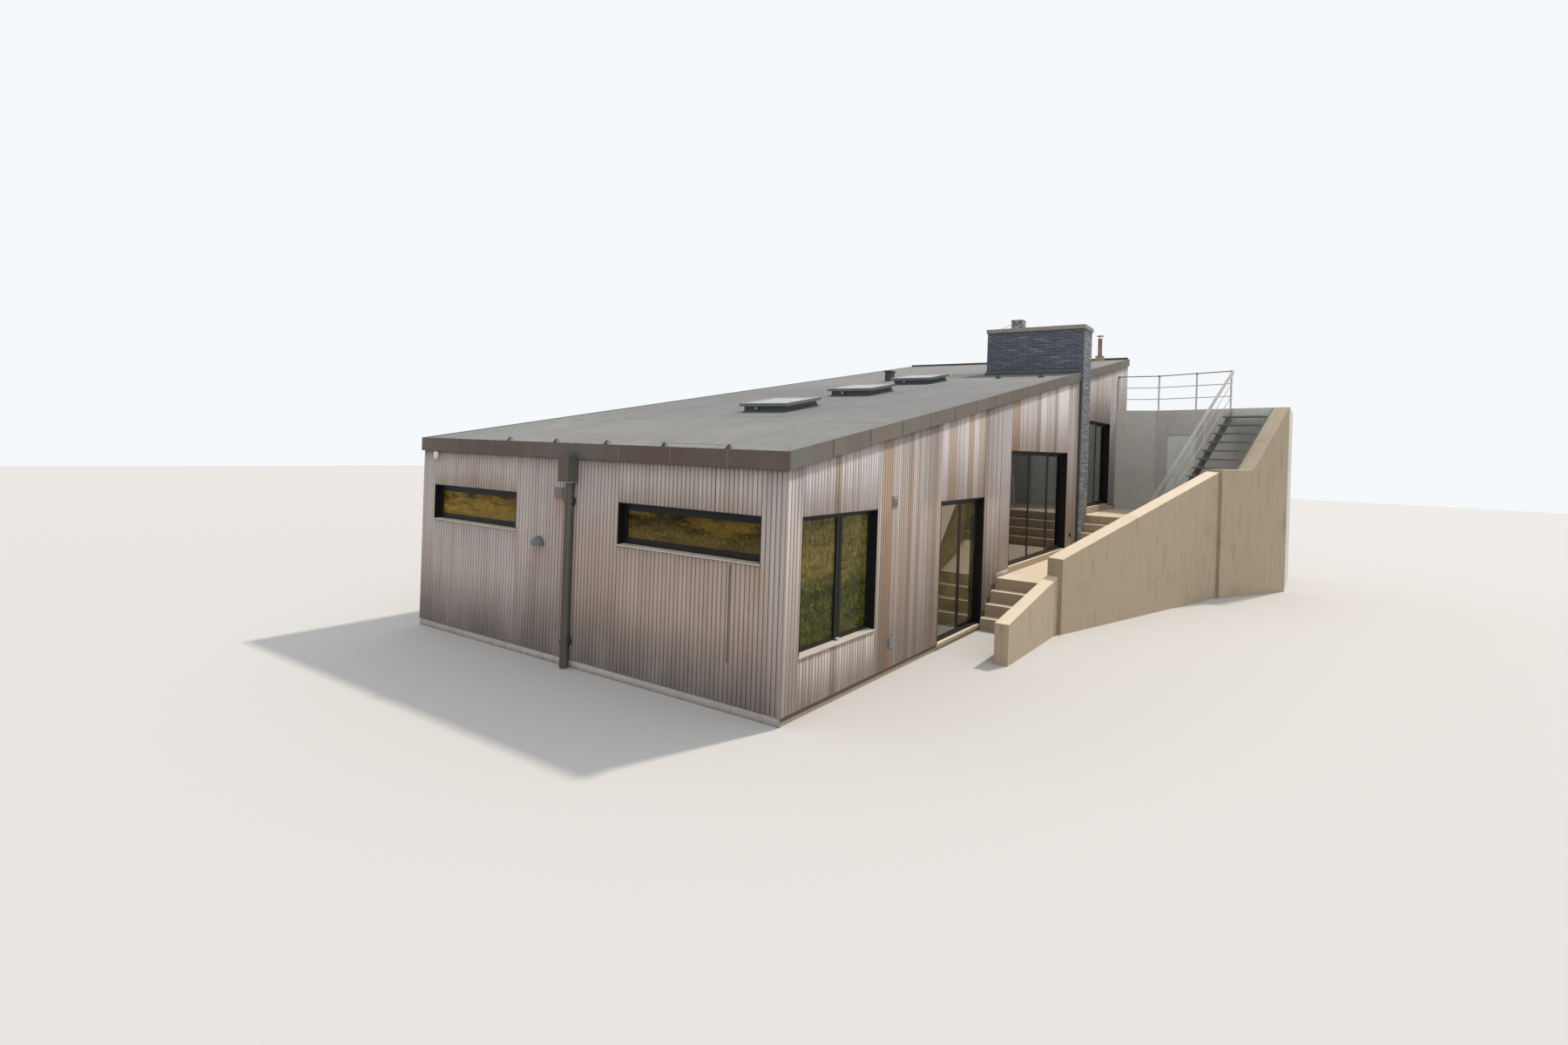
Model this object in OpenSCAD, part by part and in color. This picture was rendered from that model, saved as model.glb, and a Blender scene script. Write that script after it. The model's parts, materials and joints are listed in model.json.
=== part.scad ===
// Timber clad beach house under one roof slope, with its concrete side steps,
// terrace and store, and the steel stair up to the deck on top of the store.
// Lengths are in millimetres. The house stands on Z = 0, its front faces -Y and
// its door side faces +X. The origin is the centre of the house's footprint.

/* [House] */
// Width of the house over its cladding
house_w = 6780; // [6000:10:8000]
// Length of the house over its cladding
house_l = 17100; // [16800:10:18000]
// Thickness of the outer walls
wall_t = 280; // [200:10:340]
// Underside of the roof above the base, at the front wall
eave_h = 2690; // [2500:10:2900]
// Slope of the roof in degrees
roof_pitch = 9.5; // [6:0.5:12]
// Upright thickness of the roof slab
roof_t = 190; // [150:10:240]
// Height of the concrete footing under the walls
footing_h = 50; // [40:5:60]

/* [Roof edge] */
// How far the metal edge stands out from the cladding
edge_out = 46; // [30:1:60]
// Thickness of the metal edge
edge_t = 24; // [12:2:28]
// Height of the metal edge
edge_h = 200; // [180:10:240]

/* [Windows] */
// Underside of the slot windows
slot_sill = 1650; // [1500:10:1700]
// Top of the windows
window_top = 2180; // [2000:10:2200]
// Underside of the tall side window
tall_sill = 657; // [500:1:800]
// Depth of the outer reveal before the frame
reveal = 75; // [60:5:120]
// Depth of a window frame
frame_d = 70; // [50:5:90]
// Face width of a frame
frame_w = 60; // [40:5:80]
// Thickness of the glass
glass_t = 24; // [16:2:30]

/* [Doors] */
// Height of a glazed door opening
door_h = 2100; // [2000:10:2200]
// Threshold of the lower door
sill_low = 96; // [90:1:150]
// Threshold of the middle door
sill_mid = 884; // [850:1:920]
// Threshold of the upper door
sill_up = 1691; // [1650:1:1750]
// Depth of the outer reveal before a door's frame
door_reveal = 45; // [40:5:80]
// Depth of a sliding door's frame
track_d = 150; // [140:5:150]
// Face width of a door's frame
door_face = 40; // [30:5:60]
// Face width of the uprights between and beside the panels
stile = 90; // [60:5:100]
// Face width of the rails above and below the panels
rail = 40; // [30:5:80]
// Thickness of a sliding leaf
leaf_t = 36; // [36:2:44]
// Gap round a sliding leaf
leaf_gap = 8; // [6:1:10]

/* [Steps and terrace] */
// Level of the landing beside the middle door
landing_z = 770; // [740:5:800]
// Level of the upper terrace
terrace_z = 1530; // [1480:5:1560]
// Risers in each flight of concrete steps
risers = 4; // [3:1:5]
// Clear width of the steps between house and wall
walk_w = 900; // [850:10:1000]
// Thickness of the dune side walls
dune_wall_t = 280; // [200:10:300]
// Top of the dune side wall at its front end
pier_top = 1230; // [1150:10:1300]
// Slope of the dune side wall's top
flare_slope = 0.24; // [0.15:0.01:0.26]

/* [Store and deck] */
// Level of the deck on top of the store
deck_z = 4200; // [4100:10:4300]
// Thickness of the deck slab
deck_t = 200; // [160:10:250]
// Thickness of the store's walls
store_t = 200; // [160:10:250]
// Turn of the store's angled face, in degrees
turn = 27; // [25:1:30]
// Width of the store's door
store_door_w = 800; // [750:10:850]
// Height of the store's door
store_door_h = 2020; // [1950:10:2050]
// Height of the railing above the deck
rail_h = 940; // [900:10:1100]

/* [Steel stair] */
// Risers between terrace and deck
stair_risers = 13; // [12:1:14]
// Depth from one tread's nose to the next
going = 187; // [180:1:200]
// Clear width of the stair
stair_w = 950; // [800:10:1000]

/* [Chimney] */
// Length of the chimney across the house
chimney_w = 2270; // [2000:10:2400]
// Depth of the chimney along the house
chimney_d = 730; // [600:10:800]
// Top of the brickwork
chimney_top = 5860; // [5500:10:6200]

/* [Hidden] */

slope = tan(roof_pitch);
// Thickness of the metal edge's fold over the roof
fold = 20;
rear_edge_h = 250;
// The pieces are drawn from the house's front corner on the door side
corner = [house_w/2, -house_l/2, 0];
// Height that clears everything
over_all = 8000;
// Height of the roof's underside above the base, at distance y from the front
function eave_at(y) = eave_h + y*slope;

// Face widths of a window's uprights and rails; the low windows have heavier ones
function side_of(w) = w[3] - w[2] < 1000 ? frame_w + 10 : frame_w;
function rail_of(w) = w[3] - w[2] < 1000 ? frame_w + 35 : frame_w;

// Windows: [start along the wall, width, sill, top]
front_windows = [[300, 1990, slot_sill, window_top], [house_w - 2490, 2177, slot_sill, window_top]];
side_window = [290, 1720, tall_sill, window_top];
// The side window's two sashes meet here, measured along its opening
mullion_at = 875;
mullion_w = 130;
left_windows = [[1500, 1720, tall_sill, window_top], [7600, 2177, 2430, 2960],
    [12400, 2177, 3240, 3770]];
back_windows = [[900, 1990, 4600, 5130], [3700, 1990, 4600, 5130]];

// Glazed doors: [start along the wall, width, threshold]
door_1 = [3990, 1790, sill_low];
door_2 = [7080, 3790, sill_mid];
door_3 = [12450, 2570, sill_up];
doors = [door_1, door_2, door_3];
// How far the fixed panels stand behind the frame's face, and the leaf behind them
fixed_in = 4;
leaf_behind = 6;

// Lining of the openings: its thickness, and how far it stands out of the wall
lining_t = 12;
lining_out = 14;
// Height of a sill at its back edge, under the lining
sill_h = 24;

// Chimney
chimney_y = 11720;
chimney_out = 80;
cap_h = 90;
flue_w = 220;
flue_x = -1560;

// Concrete steps
step_rise = landing_z/risers;
step_rise_up = (terrace_z - landing_z)/risers;
going_low = 240;
going_up = 260;
low_flight_y = 5750;
up_flight_y = chimney_y + chimney_d - (risers - 1)*going_up;
low_landing_y = low_flight_y + (risers - 1)*going_low;
up_landing_y = up_flight_y + (risers - 1)*going_up;

// Store: its straight face, then the angled one
store_y = 15800;
store_face = 1000;
along = [cos(turn), -sin(turn)];
down = [-sin(turn), -cos(turn)];
face_start = [store_face, store_y];
// Stair: its left side, measured along the angled face
stair_at = 2020;
stair_rise = (deck_z - terrace_z)/stair_risers;
stair_run = (stair_risers - 1)*going;
stair_slope = stair_rise/going;
stringer_t = 14;
stringer_h = 200;
tread_d = 230;
tread_t = 36;
door_at = 325;
stair_l = stair_run + going;
// Inner face of the stair wall, measured along the angled face
stair_wall_at = stair_at + stair_w + 2*stringer_t + 20;
stair_wall_t = 350;
face_end = face_start + (stair_wall_at + stair_wall_t)*along;
// The dune side wall runs from its front pier to the stair wall's foot
flare_y = 6400;
stair_foot = face_start + stair_wall_at*along + stair_l*down;
flare = atan2(stair_foot[0] - walk_w, stair_foot[1] - flare_y);
// The ground between the walls is drawn this far into them, then cut off along them
bite = 100;
walk_outline = [[0, low_flight_y], [walk_w, low_flight_y], [walk_w, flare_y],
    [walk_w + bite, flare_y], stair_foot + bite*along,
    face_start + (stair_wall_at + bite)*along - bite*down, face_start + [0, bite],
    [0, store_y + bite]];
store_outline = [[0, store_y], face_start, face_end, [face_end[0], house_l], [0, house_l]];

// Rooflights, from the front: distance of each from the front wall
rooflight_y = [3550, 6350, 9050];
rooflight_x = -3450;
rooflight_w = 965;
rooflight_l = 1050;
rooflight_h = 150;
// How far the kerb and the pane stand in from the frame's edge
kerb_in = 60;
pane_in = 50;

module placed() {
    translate(corner) children();
}

// A block between two corners
module block(a, b) {
    translate(a) cube(b - a);
}

// A slab in the side wall's plane, from its outline in Y and Z
module side_slab(outline, x0, x1) {
    translate([x0, 0, 0]) rotate([90, 0, 90]) linear_extrude(x1 - x0) polygon(outline);
}

// An upright prism on a plan outline
module prism(outline, z0, z1) {
    translate([0, 0, z0]) linear_extrude(z1 - z0) polygon(outline);
}

// A wall between two points in plan, from z0 up to the roof's underside
module wall_block(a, b, z0) {
    intersection() {
        block([a[0], a[1], z0], [b[0], b[1], over_all]);
        side_slab([[0, 0], [house_l, 0], [house_l, eave_at(house_l)], [0, eave_at(0)]],
            -house_w - 1, 1);
    }
}

// An open frame w by h, d deep, drawn from its lower corner in X and Z; its uprights
// are a wide and its rails b
module ring(w, h, d, a, b) {
    rotate([90, 0, 0]) translate([0, 0, -d]) linear_extrude(d) difference() {
        square([w, h]);
        translate([a, b]) square([w - 2*a, h - 2*b]);
    }
}

// Turns a piece drawn along X and facing -Y so that it runs along Y and faces +X
module on_right(y) {
    translate([0, y, 0]) rotate([0, 0, 90]) children();
}

// Turns a piece drawn along X and facing -Y so that it runs along Y and faces -X
module on_left(y) {
    translate([-house_w, y, 0]) rotate([0, 0, -90]) mirror([1, 0, 0]) children();
}

// Turns a piece drawn along X and facing -Y so that it faces +Y, starting at x
module on_back(x) {
    translate([x, house_l, 0]) mirror([0, 1, 0]) children();
}

// The work in the angled face's own frame: X along the face, -Y out of it
module on_angled_face() {
    translate([face_start[0], face_start[1], 0]) rotate([0, 0, -turn]) children();
}

// The chimney's own space, from z0 up
module chimney_space(z0) {
    block([chimney_out - chimney_w, chimney_y, z0], [chimney_out, chimney_y + chimney_d, over_all]);
}

module foundation() {
    color("gray") placed() difference() {
        union() {
            block([-house_w + 15, 15, 0], [-15, house_l - 15, footing_h]);
            block([-house_w + wall_t, wall_t, footing_h], [-wall_t, house_l - wall_t, sill_low]);
        }
        chimney_space(-1);
    }
}

module front_wall() {
    color("tan") placed() difference() {
        wall_block([-house_w, 0], [-wall_t, wall_t], footing_h);
        for (w = front_windows)
            block([-house_w + w[0], -1, w[2]], [-house_w + w[0] + w[1], wall_t + 1, w[3]]);
    }
}

module left_wall() {
    color("tan") placed() difference() {
        wall_block([-house_w, wall_t], [-house_w + wall_t, house_l], footing_h);
        for (w = left_windows)
            block([-house_w - 1, w[0], w[2]], [-house_w + wall_t + 1, w[0] + w[1], w[3]]);
    }
}

module back_wall() {
    color("tan") placed() difference() {
        wall_block([-house_w + wall_t, house_l - wall_t], [-wall_t, house_l], footing_h);
        for (w = back_windows)
            block([-house_w + w[0], house_l - wall_t - 1, w[2]],
                [-house_w + w[0] + w[1], house_l + 1, w[3]]);
    }
}

module right_wall_front() {
    color("tan") placed() difference() {
        wall_block([-wall_t, 0], [0, door_1[0]], footing_h);
        block([-wall_t - 1, side_window[0], side_window[2]],
            [1, side_window[0] + side_window[1], side_window[3]]);
    }
}

module right_wall_piers() {
    spans = [[door_1[0] + door_1[1], door_2[0]], [door_2[0] + door_2[1], chimney_y],
        [door_3[0] + door_3[1], house_l]];
    color("tan") placed() for (s = spans)
        wall_block([-wall_t, s[0]], [0, s[1]], footing_h);
}

module door_lintels() {
    color("tan") placed() for (d = doors)
        wall_block([-wall_t, d[0]], [0, d[0] + d[1]], d[2] + door_h);
}

module door_thresholds() {
    color("wheat") placed() for (d = doors)
        block([-wall_t, d[0], footing_h], [lining_out, d[0] + d[1], d[2]]);
}

module middle_floor() {
    color("lightgray") placed() difference() {
        side_slab([[low_landing_y, sill_low], [low_landing_y + 150, sill_low],
            [low_landing_y + 150, sill_mid - 200], [up_landing_y, sill_mid - 200],
            [up_landing_y, sill_mid], [low_landing_y, sill_mid]], -house_w + wall_t, -wall_t);
        chimney_space(-1);
    }
}

module upper_floor() {
    color("lightgray") placed()
        side_slab([[up_landing_y, sill_low], [up_landing_y + 150, sill_low],
            [up_landing_y + 150, sill_up - 200], [house_l - wall_t, sill_up - 200],
            [house_l - wall_t, sill_up], [up_landing_y, sill_up]], -house_w + wall_t, -wall_t);
}

module roof_slab() {
    color("dimgray") placed() difference() {
        side_slab([[0, eave_at(0)], [house_l, eave_at(house_l)],
            [house_l, eave_at(house_l) + roof_t], [0, eave_at(0) + roof_t]], -house_w, 0);
        for (y = rooflight_y)
            block([rooflight_x + 120, y + 120, 0],
                [rooflight_x + rooflight_w - 120, y + rooflight_l - 120, over_all]);
        chimney_space(0);
    }
}

// The upright part of a level metal edge, between the two sloping ones
module edge_plate(y, z, h) {
    block([-house_w - edge_out + edge_t, y, z], [edge_out - edge_t, y + edge_t, z + h]);
}

module front_fascia() {
    top = eave_h - edge_out*slope;
    color("saddlebrown") placed() union() {
        edge_plate(-edge_out, top, edge_h - fold);
        block([-house_w, -edge_out, top + edge_h - fold], [0, 0, top + edge_h]);
    }
}

// A metal edge along a sloping side, on the outside of plane x = 0
module sloping_edge(y0, y1) {
    side_slab([[y0, eave_at(y0)], [y1, eave_at(y1)], [y1, eave_at(y1) + edge_h],
        [y0, eave_at(y0) + edge_h]], edge_out - edge_t, edge_out);
    side_slab([[y0, eave_at(y0) + edge_h - fold], [y1, eave_at(y1) + edge_h - fold],
        [y1, eave_at(y1) + edge_h], [y0, eave_at(y0) + edge_h]], 0, edge_out);
}

module right_fascia() {
    color("saddlebrown") placed() {
        sloping_edge(-edge_out, chimney_y);
        sloping_edge(chimney_y + chimney_d, house_l + edge_out);
    }
}

module left_fascia() {
    color("saddlebrown") placed() translate([-house_w, 0, 0]) mirror([1, 0, 0])
        sloping_edge(-edge_out, house_l + edge_out);
}

module rear_fascia() {
    base = eave_at(house_l);
    color("saddlebrown") placed() union() {
        edge_plate(house_l + edge_out - edge_t, base, edge_h - fold);
        block([-house_w, house_l + edge_out - edge_t, base],
            [0, house_l + edge_out, base + rear_edge_h]);
        block([-house_w, house_l, base + rear_edge_h - fold],
            [0, house_l + edge_out, base + rear_edge_h]);
    }
}

// The shaft for smoke, open at the top
module flue_space(z0) {
    block([flue_x - flue_w/2, chimney_y + (chimney_d - flue_w)/2, z0],
        [flue_x + flue_w/2, chimney_y + (chimney_d + flue_w)/2, chimney_top + cap_h + 1]);
}

module chimney_stack() {
    color("darkslategray") placed() difference() {
        block([chimney_out - chimney_w, chimney_y, 0],
            [chimney_out, chimney_y + chimney_d, chimney_top]);
        flue_space(chimney_top - 2500);
    }
}

module chimney_cap() {
    over = 30;
    color("wheat") placed() difference() {
        block([chimney_out - chimney_w - over, chimney_y - over, chimney_top],
            [chimney_out + over, chimney_y + chimney_d + over, chimney_top + cap_h]);
        flue_space(chimney_top - 1);
    }
}

// A square cowl on a flange, open below, with a plate on top
module chimney_cowl() {
    w = 220;
    h = 170;
    color("silver") placed() translate([flue_x, chimney_y + chimney_d/2, chimney_top + cap_h]) {
        difference() {
            union() {
                translate([-150, -150, 0]) cube([300, 300, 15]);
                translate([-w/2, -w/2, 0]) cube([w, w, h]);
            }
            translate([10 - w/2, 10 - w/2, -1]) cube([w - 20, w - 20, h]);
        }
        translate([-w/2 - 20, -w/2 - 20, h]) cube([w + 40, w + 40, 20]);
    }
}

// A rooflight's kerb and frame stand square to the roof
module rooflight_frames() {
    color("gray") placed() for (y = rooflight_y) above_roof()
        translate([rooflight_x, y, eave_at(y) + roof_t]) rotate([roof_pitch, 0, 0]) difference() {
            union() {
                translate([kerb_in, kerb_in, -kerb_in])
                    cube([rooflight_w - 2*kerb_in, rooflight_l - 2*kerb_in, rooflight_h + kerb_in]);
                translate([0, 0, rooflight_h - 50]) cube([rooflight_w, rooflight_l, 50]);
            }
            translate([130, 130, -kerb_in - 1])
                cube([rooflight_w - 260, rooflight_l - 260, rooflight_h + kerb_in]);
            translate([pane_in, pane_in, rooflight_h - 20])
                cube([rooflight_w - 2*pane_in, rooflight_l - 2*pane_in, 21]);
        }
}

module rooflight_glass() {
    color("lightblue") placed() for (y = rooflight_y)
        translate([rooflight_x, y, eave_at(y) + roof_t]) rotate([roof_pitch, 0, 0])
            translate([pane_in, pane_in, rooflight_h - 20])
                cube([rooflight_w - 2*pane_in, rooflight_l - 2*pane_in, 16]);
}

// Upright pieces on the roof, cut off along its upper face
module above_roof() {
    difference() {
        children();
        side_slab([[0, 0], [house_l, 0], [house_l, eave_at(house_l) + roof_t],
            [0, eave_h + roof_t]], -house_w, 0);
    }
}

// A stack with a wider cap, small tips along the front edge and low vents by the chimney
module roof_vents() {
    stack = [160, 200, 230];
    cap = [210, 250, 30];
    tips = [-4753, -3761, -2791, -1807, -831];
    tips_y = 50;
    low = [[-1430, 10400], [-480, 10420]];
    color("darkslategray") placed() above_roof() {
        translate([-4250, 10300, eave_at(10300)]) {
            cube([stack[0], stack[1], roof_t + stack[2]]);
            translate([(stack[0] - cap[0])/2, (stack[1] - cap[1])/2, roof_t + stack[2]]) cube(cap);
        }
        for (x = tips)
            translate([x, tips_y, eave_at(tips_y) + roof_t - 10]) pyramid(56, 80, 20);
        for (v = low)
            translate([v[0], v[1], eave_at(v[1]) + roof_t - 60]) pyramid(130, 184, 50);
    }
}

// A square pyramid cut off at height h, its sides base wide below and top wide above
module pyramid(h, base, top) {
    rotate([0, 0, 45]) cylinder(h = h, d1 = base*sqrt(2), d2 = top*sqrt(2), $fn = 4);
}

// A thin flue on a square base, its rain cap held up on three legs
module roof_flue() {
    pipe_d = 115;
    base = 200;
    base_h = 140;
    cap_d = 190;
    top = roof_t + 640;
    color("sienna") placed() above_roof() translate([-720, 16900, eave_at(16900)]) {
        translate([-base/2, -base/2, 0]) cube([base, base, roof_t + base_h]);
        cylinder(h = top, d = pipe_d, $fn = 32);
        for (a = [0, 120, 240]) rotate([0, 0, a]) translate([pipe_d/2 - 9, 0, top - 10])
            cylinder(h = 90, d = 12, $fn = 12);
        translate([0, 0, top + 70]) cylinder(h = 14, d = cap_d, $fn = 32);
    }
}

// A window frame in its opening, set behind the reveal
module window_frame(w) {
    translate([0, reveal, w[2]]) ring(w[1], w[3] - w[2], frame_d, side_of(w), rail_of(w));
    translate([0, 0, w[2] + sill_h]) lining(w[1], w[3] - w[2] - sill_h, reveal);
}

// Lining at the sides and top of an opening w by h, from the cladding back to the frame
module lining(w, h, depth) {
    rotate([90, 0, 0]) translate([0, 0, -depth]) linear_extrude(depth + lining_out)
        difference() {
            square([w, h]);
            translate([lining_t, -1]) square([w - 2*lining_t, h - lining_t + 1]);
        }
}

module front_window_frames() {
    color("black") placed() for (w = front_windows)
        translate([-house_w + w[0], 0, 0]) window_frame(w);
}

module side_window_frame() {
    w = side_window;
    h = w[3] - w[2] - 2*frame_w;
    color("black") placed() on_right(w[0]) union() {
        window_frame(w);
        translate([0, 0, w[2] + frame_w]) difference() {
            block([mullion_at, reveal, 0], [mullion_at + mullion_w, reveal + frame_d, h]);
            block([mullion_at + mullion_w/2 - 5, reveal - 1, -1],
                [mullion_at + mullion_w/2 + 5, reveal + 18, h + 1]);
        }
    }
}

module rear_window_frames() {
    color("black") placed() {
        for (w = left_windows)
            on_left(w[0]) window_frame(w);
        for (w = back_windows)
            translate([-house_w, 0, 0]) on_back(w[0]) window_frame(w);
    }
}

// A pane that fills a frame
module pane(w) {
    translate([side_of(w), reveal + (frame_d - glass_t)/2, w[2] + rail_of(w)])
        cube([w[1] - 2*side_of(w), glass_t, w[3] - w[2] - 2*rail_of(w)]);
}

module window_glass() {
    s = side_window;
    color("lightblue") placed() {
        for (w = front_windows)
            translate([-house_w + w[0], 0, 0]) pane(w);
        on_right(s[0]) difference() {
            pane(s);
            translate([mullion_at, 0, 0]) cube([mullion_w, wall_t, window_top]);
        }
        for (w = left_windows)
            on_left(w[0]) pane(w);
        for (w = back_windows)
            translate([-house_w, 0, 0]) on_back(w[0]) pane(w);
    }
}

// A sloping sill that stands on the opening's lower edge, in front of the frame
module sill(w) {
    translate([0, 0, w[2]]) rotate([90, 0, 90]) linear_extrude(w[1])
        polygon([[-25, 0], [reveal, 0], [reveal, sill_h], [-25, sill_h - 10]]);
}

module window_sills() {
    color("lightgray") placed() {
        for (w = front_windows)
            translate([-house_w + w[0], 0, 0]) sill(w);
        on_right(side_window[0]) sill(side_window);
        for (w = left_windows)
            on_left(w[0]) sill(w);
        for (w = back_windows)
            translate([-house_w, 0, 0]) on_back(w[0]) sill(w);
    }
}

// A door's panels are equally wide, in whole millimetres. The last one slides, behind
// the fixed ones.
function panels(d) = d[1] > 3000 ? 3 : 2;
function panel_w(d) = floor((d[1] - 2*door_face)/panels(d));
// Where a door's leaf starts along the opening
function leaf_at(d) = door_face + (panels(d) - 1)*panel_w(d) - stile/2;
// Height of the space inside a door's frame
door_clear = door_h - 2*door_face;

// The frame with its fixed panels, which share their uprights
module door_frame(d) {
    translate([0, 0, d[2]]) lining(d[1], door_h, door_reveal);
    translate([0, door_reveal, d[2]]) {
        ring(d[1], door_h, track_d, door_face, door_face);
        translate([door_face, fixed_in, door_face]) {
            ring((panels(d) - 1)*panel_w(d) + stile/2, door_clear, leaf_t, stile, rail);
            for (k = [1 : 1 : panels(d) - 2])
                block([k*panel_w(d) - stile/2, 0, rail],
                    [k*panel_w(d) + stile/2, leaf_t, door_clear - rail]);
        }
    }
}

module door_frames() {
    color("black") placed() for (d = doors)
        on_right(d[0]) union() door_frame(d);
}

module door_fixed_glass() {
    color("lightblue") placed() for (d = doors)
        on_right(d[0]) translate([door_face, door_reveal + fixed_in, d[2] + door_face])
            for (k = [0 : panels(d) - 2])
                block([k == 0 ? stile : k*panel_w(d) + stile/2, (leaf_t - glass_t)/2, rail],
                    [(k + 1)*panel_w(d) - stile/2, (leaf_t + glass_t)/2, door_clear - rail]);
}

// Places a leaf's pieces, drawn from its own lower corner; w and h are its size
function leaf_w(d) = d[1] - door_face - leaf_gap - leaf_at(d);
leaf_h = door_clear - 2*leaf_gap;
module in_leaf(d) {
    on_right(d[0]) translate([leaf_at(d), door_reveal + fixed_in + leaf_t + leaf_behind,
        d[2] + door_face + leaf_gap]) children();
}

module door_leaf(d) {
    in_leaf(d) ring(leaf_w(d), leaf_h, leaf_t, stile, rail);
}

module door_leaf_glass(d) {
    in_leaf(d) block([stile, (leaf_t - glass_t)/2, rail],
        [leaf_w(d) - stile, (leaf_t + glass_t)/2, leaf_h - rail]);
}

module door_1_leaf() { color("black") placed() door_leaf(door_1); }
module door_1_leaf_glass() { color("lightblue") placed() door_leaf_glass(door_1); }
module door_2_leaf() { color("black") placed() door_leaf(door_2); }
module door_2_leaf_glass() { color("lightblue") placed() door_leaf_glass(door_2); }
module door_3_leaf() { color("black") placed() door_leaf(door_3); }
module door_3_leaf_glass() { color("lightblue") placed() door_leaf_glass(door_3); }

// A pipe that stands off the wall, under a hopper that rises in front of the metal edge
module downpipe() {
    x = -3330;
    pipe_out = 75;
    hopper_out = 180;
    color("dimgray") placed() union() {
        translate([x, -pipe_out, 20]) cylinder(h = 2380, d = 110, $fn = 40);
        block([x - 95, -hopper_out, 2385], [x + 95, 0, 2675]);
        block([x - 95, -hopper_out, 2670], [x + 95, -edge_out - 4, 2735]);
        for (z = [310, 2120]) {
            translate([x, -pipe_out, z]) cylinder(h = 45, d = 128, $fn = 40);
            block([x - 30, -pipe_out, z], [x + 60, 0, z + 45]);
        }
    }
}

module wall_lamp() {
    r = 120;
    color("gray") placed() translate([-3985, 0, 1510]) intersection() {
        sphere(r = r, $fn = 48);
        block([-r, -r, 0], [r, 0, r]);
    }
}

module wall_vents() {
    color("gray") placed() {
        block([-3683, -22, 2150], [-3506, 0, 2301]);
        for (z = [340, 2190])
            block([0, 2400, z], [22, 2550, z + 140]);
    }
}

// The ground taken up by steps and terrace between y0 and y1, up to z1
module walk(y0, y1, z1) {
    difference() {
        intersection() {
            prism(walk_outline, 0, z1);
            block([-1, y0, -1], [house_w, y1, z1 + 1]);
        }
        dune_wall_body();
        stair_wall_body();
        prism(store_outline, -1, deck_z);
    }
}

// The part of a door's threshold that stands out of the wall
module threshold_space(d) {
    block([-1, d[0], -1], [lining_out, d[0] + d[1], d[2] + step_rise]);
}

module lower_steps() {
    color("wheat") placed() difference() {
        union() for (i = [0 : risers - 2])
            walk(low_flight_y + i*going_low, low_flight_y + (i + 1)*going_low, (i + 1)*step_rise);
        threshold_space(door_1);
    }
}

module middle_landing() {
    color("wheat") placed() difference() {
        union() {
            walk(low_landing_y, up_flight_y, landing_z);
            block([0, up_flight_y, 0], [chimney_out, chimney_y, landing_z]);
        }
        threshold_space(door_2);
    }
}

module upper_steps() {
    color("wheat") placed() difference() {
        union() for (i = [0 : risers - 2])
            walk(up_flight_y + i*going_up, up_flight_y + (i + 1)*going_up,
                landing_z + (i + 1)*step_rise_up);
        block([-1, up_flight_y - 1, -1], [chimney_out, up_landing_y + 1, terrace_z]);
    }
}

module upper_terrace() {
    color("wheat") placed() difference() {
        walk(up_landing_y, house_l, terrace_z);
        threshold_space(door_3);
    }
}

module low_dune_wall() {
    y0 = 3900;
    top = 940;
    color("wheat") placed() difference() {
        side_slab([[y0, 0], [flare_y, 0], [flare_y, top], [y0, top - 0.147*(flare_y - y0)]],
            walk_w, walk_w + 200);
        translate([walk_w, flare_y, -1]) rotate([0, 0, -flare]) cube([400, 400, pier_top]);
    }
}

// The dune side wall is drawn along its own length and turned into place
module dune_wall_body() {
    length = norm(stair_foot - [walk_w, flare_y]) + dune_wall_t;
    difference() {
        translate([walk_w, flare_y, 0]) rotate([0, 0, -flare])
            side_slab([[0, 0], [length, 0], [length, pier_top + length*flare_slope],
                [0, pier_top]], 0, dune_wall_t);
        on_angled_face() block([stair_wall_at - 600, -stair_l, -1],
            [stair_wall_at + 900, 0, deck_z]);
    }
}

// The wall beside the stair rises with it, up to the deck
module stair_wall_body() {
    foot_z = 2740;
    meet = (deck_z - foot_z)/stair_slope;
    on_angled_face()
        side_slab([[-stair_l, 0], [0, 0], [0, deck_z], [-meet, foot_z], [-stair_l, foot_z]],
            stair_wall_at, stair_wall_at + stair_wall_t);
}

module dune_wall() { color("wheat") placed() dune_wall_body(); }
module stair_wall() { color("wheat") placed() stair_wall_body(); }

module store_walls() {
    out_x = face_end[0];
    color("gray") placed() difference() {
        prism(store_outline, 0, deck_z - deck_t);
        translate([0, 0, terrace_z]) linear_extrude(deck_z) polygon([[-1, store_y + store_t],
            face_start + [store_t*tan(turn/2), store_t],
            [out_x - store_t, face_end[1] + store_t/cos(turn) + store_t*tan(turn)],
            [out_x - store_t, house_l - store_t], [-1, house_l - store_t]]);
        on_angled_face() translate([door_at, -1, terrace_z])
            cube([store_door_w, store_t + 200, store_door_h]);
    }
}

module deck_slab() {
    color("gray") placed() prism(store_outline, deck_z - deck_t, deck_z);
}

// The store's door turns on two barrels in front of the wall
module store_door() {
    hinge_x = door_at + store_door_w;
    hinge_out = 14;
    color("gray") placed() on_angled_face() union() {
        for (z = [terrace_z + 250, terrace_z + 1650]) {
            translate([hinge_x, -hinge_out, z]) cylinder(h = 90, d = 16, $fn = 24);
            block([hinge_x - 20, -hinge_out - 2, z], [hinge_x - 6, 14, z + 90]);
        }
        translate([door_at + 8, 12, terrace_z + 8]) cube([store_door_w - 16, 45, store_door_h - 16]);
        translate([door_at + 60, -50, terrace_z + 1000]) cube([110, 18, 20]);
        translate([door_at + 60, -50, terrace_z + 1000]) cube([18, 65, 20]);
    }
}

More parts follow.
